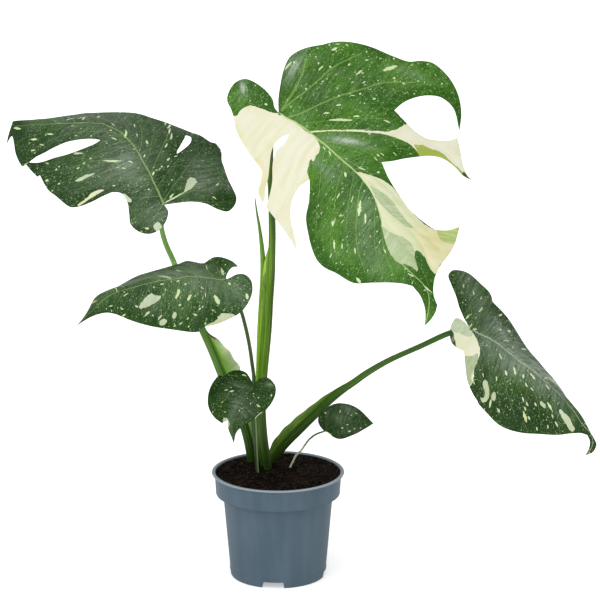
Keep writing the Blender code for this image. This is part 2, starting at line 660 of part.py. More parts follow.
def channel_tool(name, number, grow):
    """A trapezoid bar under the floor, from near the middle out through the wall."""
    low = CHANNEL_WIDTH / 2 + grow
    high = low - 1.8
    ceiling = CHANNEL_HEIGHT + grow
    start = CHANNEL_INNER_END - grow
    end = LIP_RADIUS
    points = []
    for x in (start, end):
        points += [(x, -low, -5.0), (x, low, -5.0), (x, high, ceiling), (x, -high, ceiling)]
    faces = [(3, 2, 1, 0), (4, 5, 6, 7), (0, 1, 5, 4), (1, 2, 6, 5), (2, 3, 7, 6), (3, 0, 4, 7)]
    tool = make_object(f"{name} {number}", points, faces)
    tool.rotation_euler.z = math.radians(CHANNEL_TURN + 360.0 / CHANNELS * number)
    hide_tool(tool)
    return tool


def drain_tool(number):
    bearing = math.radians(CHANNEL_TURN + 360.0 / CHANNELS * number)
    mesh = bpy.data.meshes.new("drain")
    shape = bmesh.new()
    bmesh.ops.create_cone(shape, cap_ends=True, segments=12, radius1=DRAIN_RADIUS * MM,
                          radius2=DRAIN_RADIUS * MM, depth=6 * MM)
    shape.to_mesh(mesh)
    shape.free()
    tool = bpy.data.objects.new(f"drain {number}", mesh)
    height = CHANNEL_HEIGHT + WALL / 2
    tool.location = Vector((DRAIN_AT * math.cos(bearing), DRAIN_AT * math.sin(bearing), height)) * MM
    bpy.context.scene.collection.objects.link(tool)
    hide_tool(tool)
    return tool


def build_pot(material):
    points, faces = lathe(outer_profile(), SEGMENTS)
    pot = make_object("pot", points, faces, material)
    mouth = COLLAR_RADIUS - 0.3
    above = POT_HEIGHT + 5.0
    profile = inner_profile(0.0, POT_HEIGHT) + [(mouth, POT_HEIGHT), (mouth, above), (0, above)]
    points, faces = lathe(profile, SEGMENTS)
    room = make_object("room", points, faces)
    hide_tool(room)
    for number in range(CHANNELS):
        cut(room, channel_tool("channel with walls", number, WALL))
        cut(pot, channel_tool("channel", number, 0.0))
        cut(pot, drain_tool(number))
    cut(pot, room)


def soil_height(x, y):
    away = ((x - MOUND_CENTRE[0]) ** 2 + (y - MOUND_CENTRE[1]) ** 2) / MOUND_SPREAD ** 2
    crumbs = noise.noise(Vector((x / 7.0, y / 7.0, 3.7)))
    crumbs += 0.5 * noise.noise(Vector((x / 3.5, y / 3.5, 8.1)))
    rim = min(1.0, (COLLAR_RADIUS - math.hypot(x, y)) / 12.0)
    return SOIL_LEVEL + MOUND_HEIGHT * math.exp(-away) * rim + LUMP * crumbs * (0.4 + 0.6 * rim)


def build_soil(material):
    shell = inner_profile(GAP, POT_HEIGHT)
    edge = shell[-1][0]
    rings = [edge * f for f in (0.9, 0.78, 0.65, 0.52, 0.4, 0.27, 0.14)]
    profile = shell + [(radius, POT_HEIGHT) for radius in rings] + [(0, POT_HEIGHT)]
    points, faces = lathe(profile, SEGMENTS)
    first_top = 1 + (len(shell) - 2) * SEGMENTS
    for i in range(first_top, len(points)):
        x, y, _ = points[i]
        points[i] = (x, y, soil_height(x, y))
    soil = make_object("soil", points, faces, material)
    for number in range(CHANNELS):
        cut(soil, channel_tool("channel with clearance", number, WALL + GAP))
    for name in STALKS:
        cut(soil, hole_tool(name))


def main():
    clear_scene()
    build_pot(make_material("pot"))
    build_soil(make_material("soil"))
    stalk = make_material("stalk")
    for name in STALKS:
        build_stalk(name, stalk)
    blade = make_material("blade")
    for seed, (name, leaf) in enumerate(LEAVES.items()):
        build_leaf(name, leaf, 0.7 + 1.3 * seed, blade)


main()
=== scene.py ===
# Looks of a potted monstera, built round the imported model. The frame is in metres; lists here are in mm.
import math

import bpy
import numpy as np
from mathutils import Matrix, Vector, noise
from mathutils.geometry import delaunay_2d_cdt


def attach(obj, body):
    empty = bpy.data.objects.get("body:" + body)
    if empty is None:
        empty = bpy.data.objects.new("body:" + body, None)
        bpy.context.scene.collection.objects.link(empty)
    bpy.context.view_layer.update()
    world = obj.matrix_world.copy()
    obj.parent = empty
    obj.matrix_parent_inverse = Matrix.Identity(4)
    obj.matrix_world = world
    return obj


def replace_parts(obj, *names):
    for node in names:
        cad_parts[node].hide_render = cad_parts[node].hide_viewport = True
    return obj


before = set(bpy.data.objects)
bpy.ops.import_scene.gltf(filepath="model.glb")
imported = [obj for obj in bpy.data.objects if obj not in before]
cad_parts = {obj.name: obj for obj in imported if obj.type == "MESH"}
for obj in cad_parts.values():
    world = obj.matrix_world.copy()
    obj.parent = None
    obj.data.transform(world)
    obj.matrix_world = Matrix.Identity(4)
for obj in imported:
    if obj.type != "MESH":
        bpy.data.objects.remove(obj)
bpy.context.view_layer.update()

mm = 0.001
scene = bpy.context.scene
scene.view_settings.view_transform = "Standard"

# The camera looks down a little from far off, as a long lens does.
view = {
    "lookAt": (24.9, 0.0, 322.5), "distance": 4000.0, "pitch": 15.3, "lens": 214.8, "sensor": 36.0,
    "clipEnd": 100.0,
}

cameraData = bpy.data.cameras.new("view")
camera = bpy.data.objects.new("view", cameraData)
scene.collection.objects.link(camera)
pitch = math.radians(view["pitch"])
back = Vector((0.0, -math.cos(pitch), math.sin(pitch)))
camera.location = (Vector(view["lookAt"]) + back * view["distance"]) * mm
camera.rotation_euler = (math.pi / 2 - pitch, 0.0, 0.0)
cameraData.lens = view["lens"]
cameraData.sensor_width = view["sensor"]
cameraData.clip_end = view["clipEnd"]
scene.camera = camera

# A studio: pale floor, bright overhead, darker at eye height, and one large soft lamp from the front left.
light = {
    "overhead": 1.28, "horizon": 0.42, "front": 0.4, "side": 0.6, "lean": 0.12, "lampPower": 0.86,
    "lampSpread": 80.0, "lampTurn": (45.0, -8.0, -26.0), "floor": (0.9, 0.9, 0.9), "floorGlow": 0.42,
    "floorHalf": 15.0,
}


def colour(*parts):
    return (*parts, 1.0)


def put(tree, kind, inputs=(), **settings):
    made = tree.nodes.new("ShaderNode" + kind)
    for name, value in settings.items():
        setattr(made, name, value)
    for key, value in dict(inputs).items():
        if isinstance(value, bpy.types.NodeSocket):
            tree.links.new(value, made.inputs[key])
        else:
            made.inputs[key].default_value = value
    return made


def blend(tree, amount, first, second, how="MIX"):
    inputs = {0: amount, 6: first, 7: second}
    return put(tree, "Mix", inputs, data_type="RGBA", blend_type=how).outputs[2]


def maths(tree, how, first, second=0.0, third=0.0):
    return put(tree, "Math", {0: first, 1: second, 2: third}, operation=how).outputs[0]


def times(tree, product, *others):
    for other in others:
        product = maths(tree, "MULTIPLY", product, other)
    return product


def plus(tree, first, second):
    return maths(tree, "ADD", first, second)


def less(tree, first, second):
    return maths(tree, "SUBTRACT", first, second)


def clamped(tree, value):
    return put(tree, "Clamp", {0: value}).outputs[0]


def remap(tree, value, low, high, to=(0.0, 1.0)):
    inputs = {"Value": value, "From Min": low, "From Max": high, "To Min": to[0], "To Max": to[1]}
    return put(tree, "MapRange", inputs, interpolation_type="SMOOTHSTEP").outputs[0]


def parted(tree, vector):
    return put(tree, "SeparateXYZ", {0: vector}).outputs


def stretch(tree, place, scale):
    return put(tree, "VectorMath", {0: place, 1: scale}, operation="MULTIPLY").outputs[0]


def grain(tree, place, scale, detail=2.0):
    if isinstance(scale, tuple):
        place, scale = stretch(tree, place, scale), 1.0
    inputs = {"Vector": place, "Scale": scale, "Detail": detail}
    return put(tree, "TexNoise", inputs).outputs["Fac"]


def field(tree, name, output="Vector"):
    return put(tree, "Attribute", attribute_name=name).outputs[output]


def newSkin(name):
    made = bpy.data.materials.new(name)
    made.use_nodes = True
    return made, made.node_tree


def coat(tree, tone, roughness, height, specular, strength, distance):
    # joins a colour, a roughness and a fine relief to the shader
    shader = tree.nodes["Principled BSDF"].inputs
    tree.links.new(tone, shader["Base Color"])
    if isinstance(roughness, float):
        shader["Roughness"].default_value = roughness
    else:
        tree.links.new(roughness, shader["Roughness"])
    shader["Specular IOR Level"].default_value = specular
    bump = put(tree, "Bump", {"Height": height, "Strength": strength, "Distance": distance})
    tree.links.new(bump.outputs["Normal"], shader["Normal"])


world = bpy.data.worlds.new("studio")
scene.world = world
world.use_nodes = True
sky = world.node_tree
way = parted(sky, put(sky, "TexCoord").outputs["Generated"])
strength = remap(sky, way["Z"], 0.0, 0.95, (light["horizon"], light["overhead"]))
ahead = maths(sky, "MULTIPLY_ADD", way["Y"], -light["front"], 1.0)
aside = maths(sky, "MULTIPLY_ADD", way["X"], light["side"], light["lean"])
strength = times(sky, strength, ahead, less(sky, 1.0, times(sky, way["X"], aside)))
sky.nodes["Background"].inputs["Color"].default_value = colour(1.0, 1.0, 1.0)
sky.links.new(strength, sky.nodes["Background"].inputs["Strength"])

lampData = bpy.data.lights.new("soft lamp", "SUN")
lampData.energy = light["lampPower"]
lampData.angle = math.radians(light["lampSpread"])
lamp = bpy.data.objects.new("soft lamp", lampData)
lamp.rotation_euler = [math.radians(turn) for turn in light["lampTurn"]]
scene.collection.objects.link(lamp)
print("camera and light")


spineSteps = 24


def smoothCurve(points, steps=spineSteps):
    # a curve through all its points, without overshoot
    pts = np.asarray(points, float)
    pts = np.vstack([2 * pts[0] - pts[1], pts, 2 * pts[-1] - pts[-2]])
    curve = []
    for a, b, c, d in zip(pts[:-3], pts[1:-2], pts[2:-1], pts[3:]):
        t0 = 0.0
        t1 = t0 + math.sqrt(np.linalg.norm(b - a))
        t2 = t1 + math.sqrt(np.linalg.norm(c - b))
        t3 = t2 + math.sqrt(np.linalg.norm(d - c))
        for t in np.linspace(t1, t2, steps, endpoint=False):
            ab = ((t1 - t) * a + (t - t0) * b) / (t1 - t0)
            bc = ((t2 - t) * b + (t - t1) * c) / (t2 - t1)
            cd = ((t3 - t) * c + (t - t2) * d) / (t3 - t2)
            abc = ((t2 - t) * ab + (t - t0) * bc) / (t2 - t0)
            bcd = ((t3 - t) * bc + (t - t1) * cd) / (t3 - t1)
            curve.append(((t2 - t) * abc + (t - t1) * bcd) / (t2 - t1))
    curve.append(pts[-2])
    return np.array(curve)


def arcLengths(curve):
    steps = np.linalg.norm(np.diff(curve, axis=0), axis=1)
    return np.concatenate([[0.0], np.cumsum(steps)])


def unit(vectors):
    return vectors / np.linalg.norm(vectors, axis=-1, keepdims=True)


def ease(at, rows, values):
    # value at each distance, eased between the rows
    stations = np.asarray(rows, float)[:, 0]
    values = np.asarray(values, float)
    at = np.clip(at, stations[0], stations[-1])
    low = np.clip(np.searchsorted(stations, at, side="right") - 1, 0, len(stations) - 2)
    t = (at - stations[low]) / (stations[low + 1] - stations[low])
    t = t * t * (3 - 2 * t)
    return values[low] * (1 - t) + values[low + 1] * t


def resample(stroke, spacing):
    curve = smoothCurve(stroke, 10) if len(stroke) > 2 else np.asarray(stroke, float)
    lengths = arcLengths(curve)
    count = max(2, int(round(lengths[-1] / spacing)) + 1)
    at = np.linspace(0, lengths[-1], count)
    return np.stack([np.interp(at, lengths, curve[:, i]) for i in range(2)], -1)


def inside(points, loop):
    hit = np.zeros(len(points), bool)
    x, y = points[:, 0], points[:, 1]
    for (x0, y0), (x1, y1) in zip(loop, np.roll(loop, -1, axis=0)):
        if y0 != y1:
            hit ^= ((y0 > y) != (y1 > y)) & (x < x0 + (y - y0) * (x1 - x0) / (y1 - y0))
    return hit


def nearest(points, line):
    # distance to an open line, and how far along the line that is
    best = np.full(len(points), 1e9)
    along = np.zeros(len(points))
    start = 0.0
    for a, b in zip(line[:-1], line[1:]):
        edge = b - a
        length = np.linalg.norm(edge)
        if length < 1e-9:
            continue
        t = np.clip(((points - a) @ edge) / length ** 2, 0, 1)
        away = np.linalg.norm(points - a - t[:, None] * edge, axis=1)
        closer = away < best
        best[closer] = away[closer]
        along[closer] = start + t[closer] * length
        start += length
    return best, along / max(start, 1e-9)


veinSearch = {"reach": 400.0, "halvings": 40}


class LeafSheet:
    # The bent surface that a flat leaf outline is laid on: its halves fold and bend along the side veins.

    def __init__(self, leaf):
        self.leaf = leaf
        self.line = smoothCurve(leaf["spine"])
        lengths = arcLengths(self.line)
        self.along = lengths - lengths[spineSteps]

    def spine(self, v):
        onLine = np.stack([np.interp(v, self.along, self.line[:, i]) for i in range(3)], -1)
        behind = unit(self.line[3] - self.line[0])
        ahead = unit(self.line[-1] - self.line[-4])
        over = np.maximum(v - self.along[-1], 0.0)[..., None]
        under = np.minimum(v - self.along[0], 0.0)[..., None]
        return onLine + over * ahead + under * behind

    def face(self, v):
        rows = np.asarray(self.leaf["face"], float)
        turn, rise = np.radians(rows[:, 1]), np.radians(rows[:, 2])
        ways = [np.cos(rise) * np.cos(turn), np.cos(rise) * np.sin(turn), np.sin(rise)]
        return np.stack([ease(v, rows, way) for way in ways], -1)

    def veinAngle(self, v, side):
        rows = np.asarray(self.leaf[side + "Veins"], float)
        return np.radians(ease(v, rows, rows[:, 1]))

    def veinFoot(self, x, y, side):
        # where on the midrib the side vein through (x, y) starts
        low, high = y - veinSearch["reach"], y + veinSearch["reach"]
        for _ in range(veinSearch["halvings"]):
            middle = (low + high) / 2
            angle = self.veinAngle(middle, side)
            ahead = (y - middle) * np.sin(angle) - np.abs(x) * np.cos(angle) > 0
            low = np.where(ahead, middle, low)
            high = np.where(ahead, high, middle)
        return (low + high) / 2

    def half(self, x, y, side):
        sign = 1.0 if side == "right" else -1.0
        v = self.veinFoot(x, y, side)
        reach = np.hypot(x, y - v)
        along = unit(self.spine(v + 2.0) - self.spine(v - 2.0))
        normal = self.face(v)
        normal = unit(normal - np.sum(normal * along, -1, keepdims=True) * along)
        across = np.cross(along, normal) * sign
        rows = np.asarray(self.leaf[side], float)
        fold = np.radians(ease(v, rows, rows[:, 1]))[:, None]
        bend = np.radians(ease(v, rows, rows[:, 2])) / 100.0
        angle = self.veinAngle(v, side)[:, None]
        way = np.cos(angle) * along + np.sin(angle) * (np.cos(fold) * across - np.sin(fold) * normal)
        under = unit(np.cross(along, way)) * sign
        turn = bend * reach / 2
        chord = reach * np.sinc(turn / math.pi)
        place = self.spine(v) + (chord * np.cos(turn))[:, None] * way + (chord * np.sin(turn))[:, None] * under
        return place, np.stack([v, sign * reach], -1)

    def points(self, flat):
        place = np.empty((len(flat), 3))
        fan = np.empty((len(flat), 2))
        for side, mask in (("right", flat[:, 0] >= 0), ("left", flat[:, 0] < 0)):
            place[mask], fan[mask] = self.half(flat[mask, 0], flat[mask, 1], side)
        return place, fan


# Marks drawn as slivers: spacing and least and most number of points, bluntness, fullness, raggedness.
sliver = {
    "step": 1.8, "counts": (3, 12), "blunt": 0.08, "fullness": 0.55, "ragged": (0.55, 1.3), "wander": 0.35,
    "slim": (0.3, 0.75), "slimmer": 1.3,
}


def brushMark(rng, x0, y0, x1, y1, width):
    # a ragged sliver from one point to the other
    start, end = np.array((x0, y0), float), np.array((x1, y1), float)
    run = end - start
    length = np.linalg.norm(run)
    sideways = np.array((-run[1], run[0])) / length
    count = int(np.clip(length / sliver["step"], *sliver["counts"]))
    at = (np.arange(count) + 0.5) / count
    upper, lower = [], []
    for t in at:
        blunt = min(max(t, sliver["blunt"]), 1 - sliver["blunt"])
        swell = width / 2 * math.sin(math.pi * blunt) ** sliver["fullness"]
        upper.append(start + run * t + sideways * swell * rng.uniform(*sliver["ragged"]))
        lower.append(start + run * t - sideways * swell * rng.uniform(*sliver["ragged"]))
    return np.array([start] + lower + [end] + upper[::-1])


def insideLeaf(points, loops):
    keep = inside(points, loops[0])
    for hole in loops[1:]:
        keep &= ~inside(points, hole)
    return keep


def closed(loop):
    return np.vstack([loop, loop[:1]])


# The blades' make, in mm: mesh sizes, thickness, relief and the slow waves of the margin.
leafMesh = {
    "cell": 1.5, "edge": 1.3, "vein": 2.5, "border": 2.2, "ragged": 0.28, "blade": 0.7, "crease": 14.0,
    "swell": 1.1, "groove": 0.7, "underRib": 1.5, "underVein": 0.5, "ribWidth": 1.5, "veinWidth": 0.85,
    "wave": 0.9, "waveFrom": 80.0, "longWave": 13.0, "shortWave": 7.0, "slant": 17.0, "margin": 0.35,
    "creaseFrom": 12.0, "reliefFrom": 6.0, "thinFrom": 3.0, "swellWidth": 5.0, "grooveWidth": 1.6,
    "ridgeWidth": 1.3, "sharp": 55.0,
}
leafTints = {
    "cream": (0.705, 0.695, 0.55), "white": (0.51, 0.58, 0.42), "ivory": (0.64, 0.67, 0.46),
    "milk": (0.72, 0.73, 0.57), "straw": (0.69, 0.67, 0.46), "pale": (0.42, 0.49, 0.32),
    "olive": (0.34, 0.40, 0.075), "lime": (0.42, 0.52, 0.20), "deep": (0.020, 0.055, 0.010),
    "streak": (0.58, 0.68, 0.42), "speck": (0.27, 0.43, 0.16), "margin": (0.06, 0.10, 0.04),
}
# colours of the tissue; the greyish third colour is a painted sheen, the studio's reflection painted into the
# green
leafLooks = {
    "Deep": (0.012, 0.044, 0.006), "Light": (0.055, 0.125, 0.030), "Bloom": (0.125, 0.170, 0.110),
    "Bloom Amount": 0.35, "Speck": (0.36, 0.50, 0.24), "Speck Amount": 0.7, "Vein": (0.16, 0.26, 0.08),
    "Rib": (0.26, 0.36, 0.13), "Underside": (0.12, 0.21, 0.09), "Wash": (0.86, 0.84, 0.58),
}
# scales of the noises that shade the tissue, per mm across and along
leafGrain = {
    "broad": 0.022, "along": (0.42, 0.035, 1.0), "fine": (1.6, 0.35, 1.0), "mottle": (0.75, 0.16, 1.0),
    "sheenNoise": (0.03, 0.03, 1.0), "yellowing": (0.12, 0.02, 1.0), "clump": 0.05,
    "specks": [((1.1, 0.65, 1.0), 0.5), ((0.6, 0.32, 1.0), 0.36), ((0.32, 0.16, 1.0), 0.2)],
    "paintedGlint": (0.46, 0.56, 0.43), "milky": (0.74, 0.75, 0.56),
}


def scatterFlecks(rng, sheet, loops, patches, count, size):
    # small marks strewn over the blade, lying along the side veins
    low, high = loops[0].min(axis=0), loops[0].max(axis=0)
    spots = rng.uniform(low, high, (count * 3, 2))
    keep = insideLeaf(spots, loops)
    for patch in patches:
        keep &= ~inside(spots, patch)
    spots = spots[keep][:count]
    flecks = []
    for spot, (foot, _) in zip(spots, sheet.points(spots)[1]):
        way = spot - (0.0, foot)
        way = way / max(np.linalg.norm(way), 1e-6)
        turn = rng.normal(0.0, sliver["wander"])
        way = np.array((way[0] * math.cos(turn) - way[1] * math.sin(turn),
                        way[0] * math.sin(turn) + way[1] * math.cos(turn)))
        length = size[0] + (size[1] - size[0]) * rng.random() ** 3
        width = length * rng.uniform(*sliver["slim"]) ** sliver["slimmer"]
        flecks.append(brushMark(rng, *spot, *(spot + way * length), width))
    return flecks


def leafLoops(leaf):
    # each stroke of the outline starts where the one before it ends
    corners = [stroke[-1] for stroke in leaf["outline"]]
    strokes = [[corners[k - 1]] + stroke for k, stroke in enumerate(leaf["outline"])]
    loops = [np.vstack([resample(stroke, leafMesh["edge"])[:-1] for stroke in strokes])]
    return loops + [resample(hole + hole[:1], leafMesh["edge"])[:-1] for hole in leaf["holes"]]


def leafMarks(leaf, sheet, loops, rng):
    marks = []
    for tint, points in leaf["patches"]:
        border = resample(points + points[:1], leafMesh["border"])[:-1]
        marks.append((tint, border + rng.normal(0.0, leafMesh["ragged"], border.shape)))
    marks += [("streak", brushMark(rng, *streak)) for streak in leaf["streaks"]]
    patches = [border for tint, border in marks if tint not in ("streak", "deep")]
    small = scatterFlecks(rng, sheet, loops, patches, leaf["flecks"], leaf["fleckSize"])
    return marks + [("speck" if rng.random() < leaf["dullFlecks"] else "streak", fleck) for fleck in small]


def flatLeaf(leaf, sheet, rng):
    # triangles over the flat outline, cut along its veins and round its marks
    loops = leafLoops(leaf)
    lines = [resample(points, leafMesh["vein"]) for points in veinLines(leaf)]
    marks = leafMarks(leaf, sheet, loops, rng)
    cell = leafMesh["cell"]
    low, high = loops[0].min(axis=0), loops[0].max(axis=0)
    row = np.arange(low[0], high[0], cell)
    heights = np.arange(low[1], high[1], cell * 0.87)
    grid = np.vstack([np.stack([row + 0.5 * cell * (k % 2), np.full(len(row), y)], -1)
                      for k, y in enumerate(heights)])
    keep = insideLeaf(grid, loops)
    for loop in loops:
        keep &= nearest(grid, closed(loop))[0] > cell * 0.5
    points, edges = list(grid[keep]), []
    rings = [(loop, 0) for loop in loops] + [(line, 1) for line in lines]
    for line, gap in rings + [(border, 0) for _, border in marks]:
        first, count = len(points), len(line)
        points += list(line)
        edges += [(first + i, first + (i + 1) % count) for i in range(count - gap)]
    result = delaunay_2d_cdt([Vector(p) for p in points], edges, [], 0, 1e-5, False)
    flat = np.array([tuple(p) for p in result[0]])
    triangles = np.array([tuple(t) for t in result[2]])
    centres = flat[triangles].mean(axis=1)
    keep = insideLeaf(centres, loops)
    triangles, centres = triangles[keep], centres[keep]
    kinds = np.full(len(triangles), "green", dtype="<U8")
    for tint, border in marks:
        low, high = border.min(axis=0), border.max(axis=0)
        close = np.flatnonzero(np.all((centres > low) & (centres < high), axis=1))
        kinds[close[inside(centres[close], border)]] = tint
    used = np.unique(triangles)
    index = np.full(len(flat), -1)
    index[used] = np.arange(len(used))
    return flat[used], index[triangles], kinds, loops


def addField(mesh, name, domain, values):
    kind = "FLOAT_VECTOR" if np.ndim(values) == 2 else "FLOAT"
    made = mesh.attributes.new(name, kind, domain)
    made.data.foreach_set("vector" if kind == "FLOAT_VECTOR" else "value", np.ravel(values).astype(np.float32))


def finishMesh(mesh, material, sharp):
    mesh.shade_smooth()
    mesh.set_sharp_from_angle(angle=math.radians(sharp))
    mesh.materials.append(material)


def addPiece(name, mesh):
    piece = bpy.data.objects.new(name, mesh)
    scene.collection.objects.link(piece)
    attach(piece, "root")
    return piece


def makeGroup(name, inputs, outputs):
    group = bpy.data.node_groups.new(name, "ShaderNodeTree")
    for way, wanted in (("INPUT", inputs), ("OUTPUT", outputs)):
        for kind, labels in wanted.items():
            for label in labels:
                group.interface.new_socket(label, in_out=way, socket_type="NodeSocket" + kind)
    return group, group.nodes.new("NodeGroupInput").outputs, group.nodes.new("NodeGroupOutput").inputs


def leafTissueGroup():
    # Colour of the living blade: two greens, a painted greyish sheen that stands for the studio's reflection,
    # painted highlights and painted shade, fine specks and pale veins.
    group, given, out = makeGroup("leafTissue", {
        "Vector": ["Place", "Fan", "Veins"],
        "Color": ["Deep", "Light", "Bloom", "Speck", "Vein", "Rib", "Tint", "Underside", "Wash"],
        "Float": ["Bloom Amount", "Speck Amount", "Mark", "Under", "Lightpaint"],
    }, {"Color": ["Color"], "Float": ["Roughness", "Height"]})
    scale = leafGrain
    place, fan, lightpaint = given["Place"], given["Fan"], given["Lightpaint"]
    veins = parted(group, given["Veins"])
    rib = remap(group, veins[0], 1.15, 0.35)
    side = remap(group, veins[1], 1.25, 0.2)
    inner = remap(group, veins[2], 2.0, 22.0)
    broad = grain(group, place, scale["broad"], 3.0)
    along = grain(group, fan, scale["along"], 3.0)
    fine = grain(group, fan, scale["fine"])
    mottle = grain(group, fan, scale["mottle"], 3.0)
    shade = plus(group, times(group, broad, 0.55), times(group, along, 0.45))
    shade = less(group, shade, times(group, less(group, 1.0, inner), 0.05))
    green = blend(group, remap(group, shade, 0.38, 0.62), given["Deep"], given["Light"])
    green = blend(group, remap(group, mottle, 0.56, 0.30, (0.0, 0.75)), green, given["Deep"])
    green = blend(group, remap(group, fine, 0.45, 0.8, (0.0, 0.6)), green, given["Light"])
    # painted sheen, the studio's reflection painted into the green: where the painted-light spots say so, and
    # in slow clouds away from the margin
    sheenNoise = grain(group, place, scale["sheenNoise"], 3.0)
    cloud = times(group, remap(group, sheenNoise, 0.36, 0.66), given["Bloom Amount"], inner)
    ragged = remap(group, fine, 0.25, 0.7, (0.5, 1.0))
    ragged = times(group, ragged, remap(group, along, 0.36, 0.62, (0.4, 1.0)))
    paintedSheen = times(group, plus(group, cloud, maths(group, "MAXIMUM", lightpaint, 0.0)), ragged)
    green = blend(group, clamped(group, paintedSheen), green, given["Bloom"])
    # painted highlight: where the painted light passes 1, pale grey-green streaks are painted in as glints
    streaky = remap(group, fine, 0.36, 0.6, (0.25, 1.0))
    streaky = times(group, streaky, remap(group, along, 0.40, 0.56, (0.3, 1.0)))
    paintedGlint = clamped(group, times(group, less(group, lightpaint, 1.0), streaky))
    green = blend(group, paintedGlint, green, colour(*scale["paintedGlint"]))
    # painted shade: where the painted light is negative, the green is painted deeper
    paintedShade = clamped(group, times(group, lightpaint, -1.0))
    green = blend(group, paintedShade, green, given["Deep"])
    # specks: one in each small cell, many of them too faint to see
    clump = remap(group, grain(group, place, scale["clump"]), 0.35, 0.65, (0.35, 1.0))
    for cell, size in scale["specks"]:
        cells = put(group, "TexVoronoi", {"Vector": stretch(group, fan, cell), "Scale": 1.0}).outputs
        chance = parted(group, cells["Color"])
        spot = remap(group, less(group, cells["Distance"], times(group, chance[1], size)), 0.05, -0.05)
        shown = times(group, spot, maths(group, "POWER", chance[0], 1.6), clump, given["Speck Amount"])
        green = blend(group, shown, green, given["Speck"])
    green = blend(group, remap(group, veins[2], 1.1, 0.4, (0.0, 0.7)), green, given["Deep"])
    green = blend(group, times(group, side, 0.55), green, given["Vein"])
    green = blend(group, times(group, rib, 0.85), green, given["Rib"])
    # marked tissue, with faint veins and slow yellowing of its own
    yellowing = remap(group, grain(group, fan, scale["yellowing"], 4.0), 0.35, 0.75, (0.0, 0.45))
    tint = given["Tint"]
    for amount in (yellowing, remap(group, fine, 0.5, 0.8, (0.0, 0.25)), times(group, side, 0.2)):
        tint = blend(group, amount, tint, given["Wash"], "MULTIPLY")
    tint = blend(group, times(group, rib, 0.35), tint, given["Rib"])
    # painted shade darkens the marks in the same spots
    tint = blend(group, times(group, paintedShade, 0.6), tint, given["Wash"], "MULTIPLY")
    # the less cream a mark is, the more its green shows through
    red = put(group, "SeparateColor", {0: given["Tint"]}).outputs[0]
    leafy = remap(group, red, 0.66, 0.40)
    through = times(group, leafy, remap(group, mottle, 0.62, 0.36, (0.0, 0.32)))
    tint = blend(group, through, tint, given["Vein"])
    milky = times(group, remap(group, along, 0.5, 0.68, (0.0, 0.3)), leafy)
    tint = blend(group, milky, tint, colour(*scale["milky"]))
    top = blend(group, given["Mark"], green, tint)
    below = blend(group, maths(group, "MULTIPLY_ADD", given["Mark"], -0.4, 0.6), top, given["Underside"])
    group.links.new(blend(group, given["Under"], top, below), out["Color"])
    rough = plus(group, remap(group, broad, 0.3, 0.7, (0.34, 0.5)), times(group, given["Under"], 0.2))
    group.links.new(rough, out["Roughness"])
    group.links.new(plus(group, times(group, fine, 0.5), times(group, side, -0.8)), out["Height"])
    return group


leafTissue = leafTissueGroup()


def leafMaterial(leaf, name):
    made, tree = newSkin(name + "Skin")
    tissue = put(tree, "Group", node_tree=leafTissue)
    sources = {"Vector": ("Place", "Fan", "Veins"), "Color": ("Tint",), "Fac": ("Mark", "Under", "Lightpaint")}
    for output, sockets in sources.items():
        for socket in sockets:
            tree.links.new(field(tree, socket.lower(), output), tissue.inputs[socket])
    for socket, value in dict(leafLooks, **leaf["looks"]).items():
        tissue.inputs[socket].default_value = colour(*value) if isinstance(value, tuple) else value
    out = tissue.outputs
    coat(tree, out["Color"], out["Roughness"], out["Height"], specular=0.1, strength=0.25, distance=0.0006)
    return made


def veinLines(leaf):
    return [leaf["midrib"]] + [points for _, points in leaf["sideVeins"]]


def veinFields(leaf, flat, loops):
    # distance to the midrib and to the nearest side vein, both over the vein's own half width, and to the edge
    scale, step = leaf["veinScale"], leafMesh["vein"]
    away, along = nearest(flat, resample(leaf["midrib"], step))
    rib = away / (leafMesh["ribWidth"] * scale * (1.0 - 0.75 * along))
    side, ridge, edge = (np.full(len(flat), far) for far in (60.0, 60.0, 1e9))
    for weight, points in leaf["sideVeins"]:
        away, along = nearest(flat, resample(points, step))
        width = leafMesh["veinWidth"] * scale * (0.2 + 0.8 * weight) * (1.0 - 0.6 * along)
        side = np.minimum(side, away / width)
        ridge = np.minimum(ridge, away / weight ** 0.5)
    for loop in loops:
        edge = np.minimum(edge, nearest(flat, closed(loop))[0])
    return rib, side, ridge, edge


def paintedLightField(leaf, flat):
    # soft spots of painted light: a painted sheen where positive, with a painted highlight beyond 1, and
    # painted shade where negative
    lightpaint = np.zeros(len(flat))
    for x, y, length, width, turn, amount in leaf["paintedLights"]:
        c, s = math.cos(math.radians(turn)), math.sin(math.radians(turn))
        u, w = (flat[:, 0] - x) * c + (flat[:, 1] - y) * s, (flat[:, 1] - y) * c - (flat[:, 0] - x) * s
        lightpaint += amount * np.exp(-(u / length) ** 2 - (w / width) ** 2)
    return lightpaint


def bladeMiddle(leaf, sheet, flat, edge):
    # the sheet with the crease down its middle rounded off, and its normals
    shape = leafMesh
    width = shape["crease"] * np.clip(edge / shape["creaseFrom"], 0.15, 1.0)[:, None] * leaf["veinScale"]
    middle = sheet.points(flat)[0]
    near = np.abs(flat[:, 0]) < shape["crease"] * 1.2
    offsets = (-1.0, -0.6, -0.2, 0.2, 0.6, 1.0)
    rounded = sum(sheet.points(flat[near] + width[near] * (offset, 0.0))[0] for offset in offsets)
    middle[near] = rounded / len(offsets)
    across, along = (sheet.points(flat + step)[0] - sheet.points(flat - step)[0]
                     for step in (np.array((0.5, 0.0)), np.array((0.0, 0.5))))
    return middle, unit(np.cross(across, along))


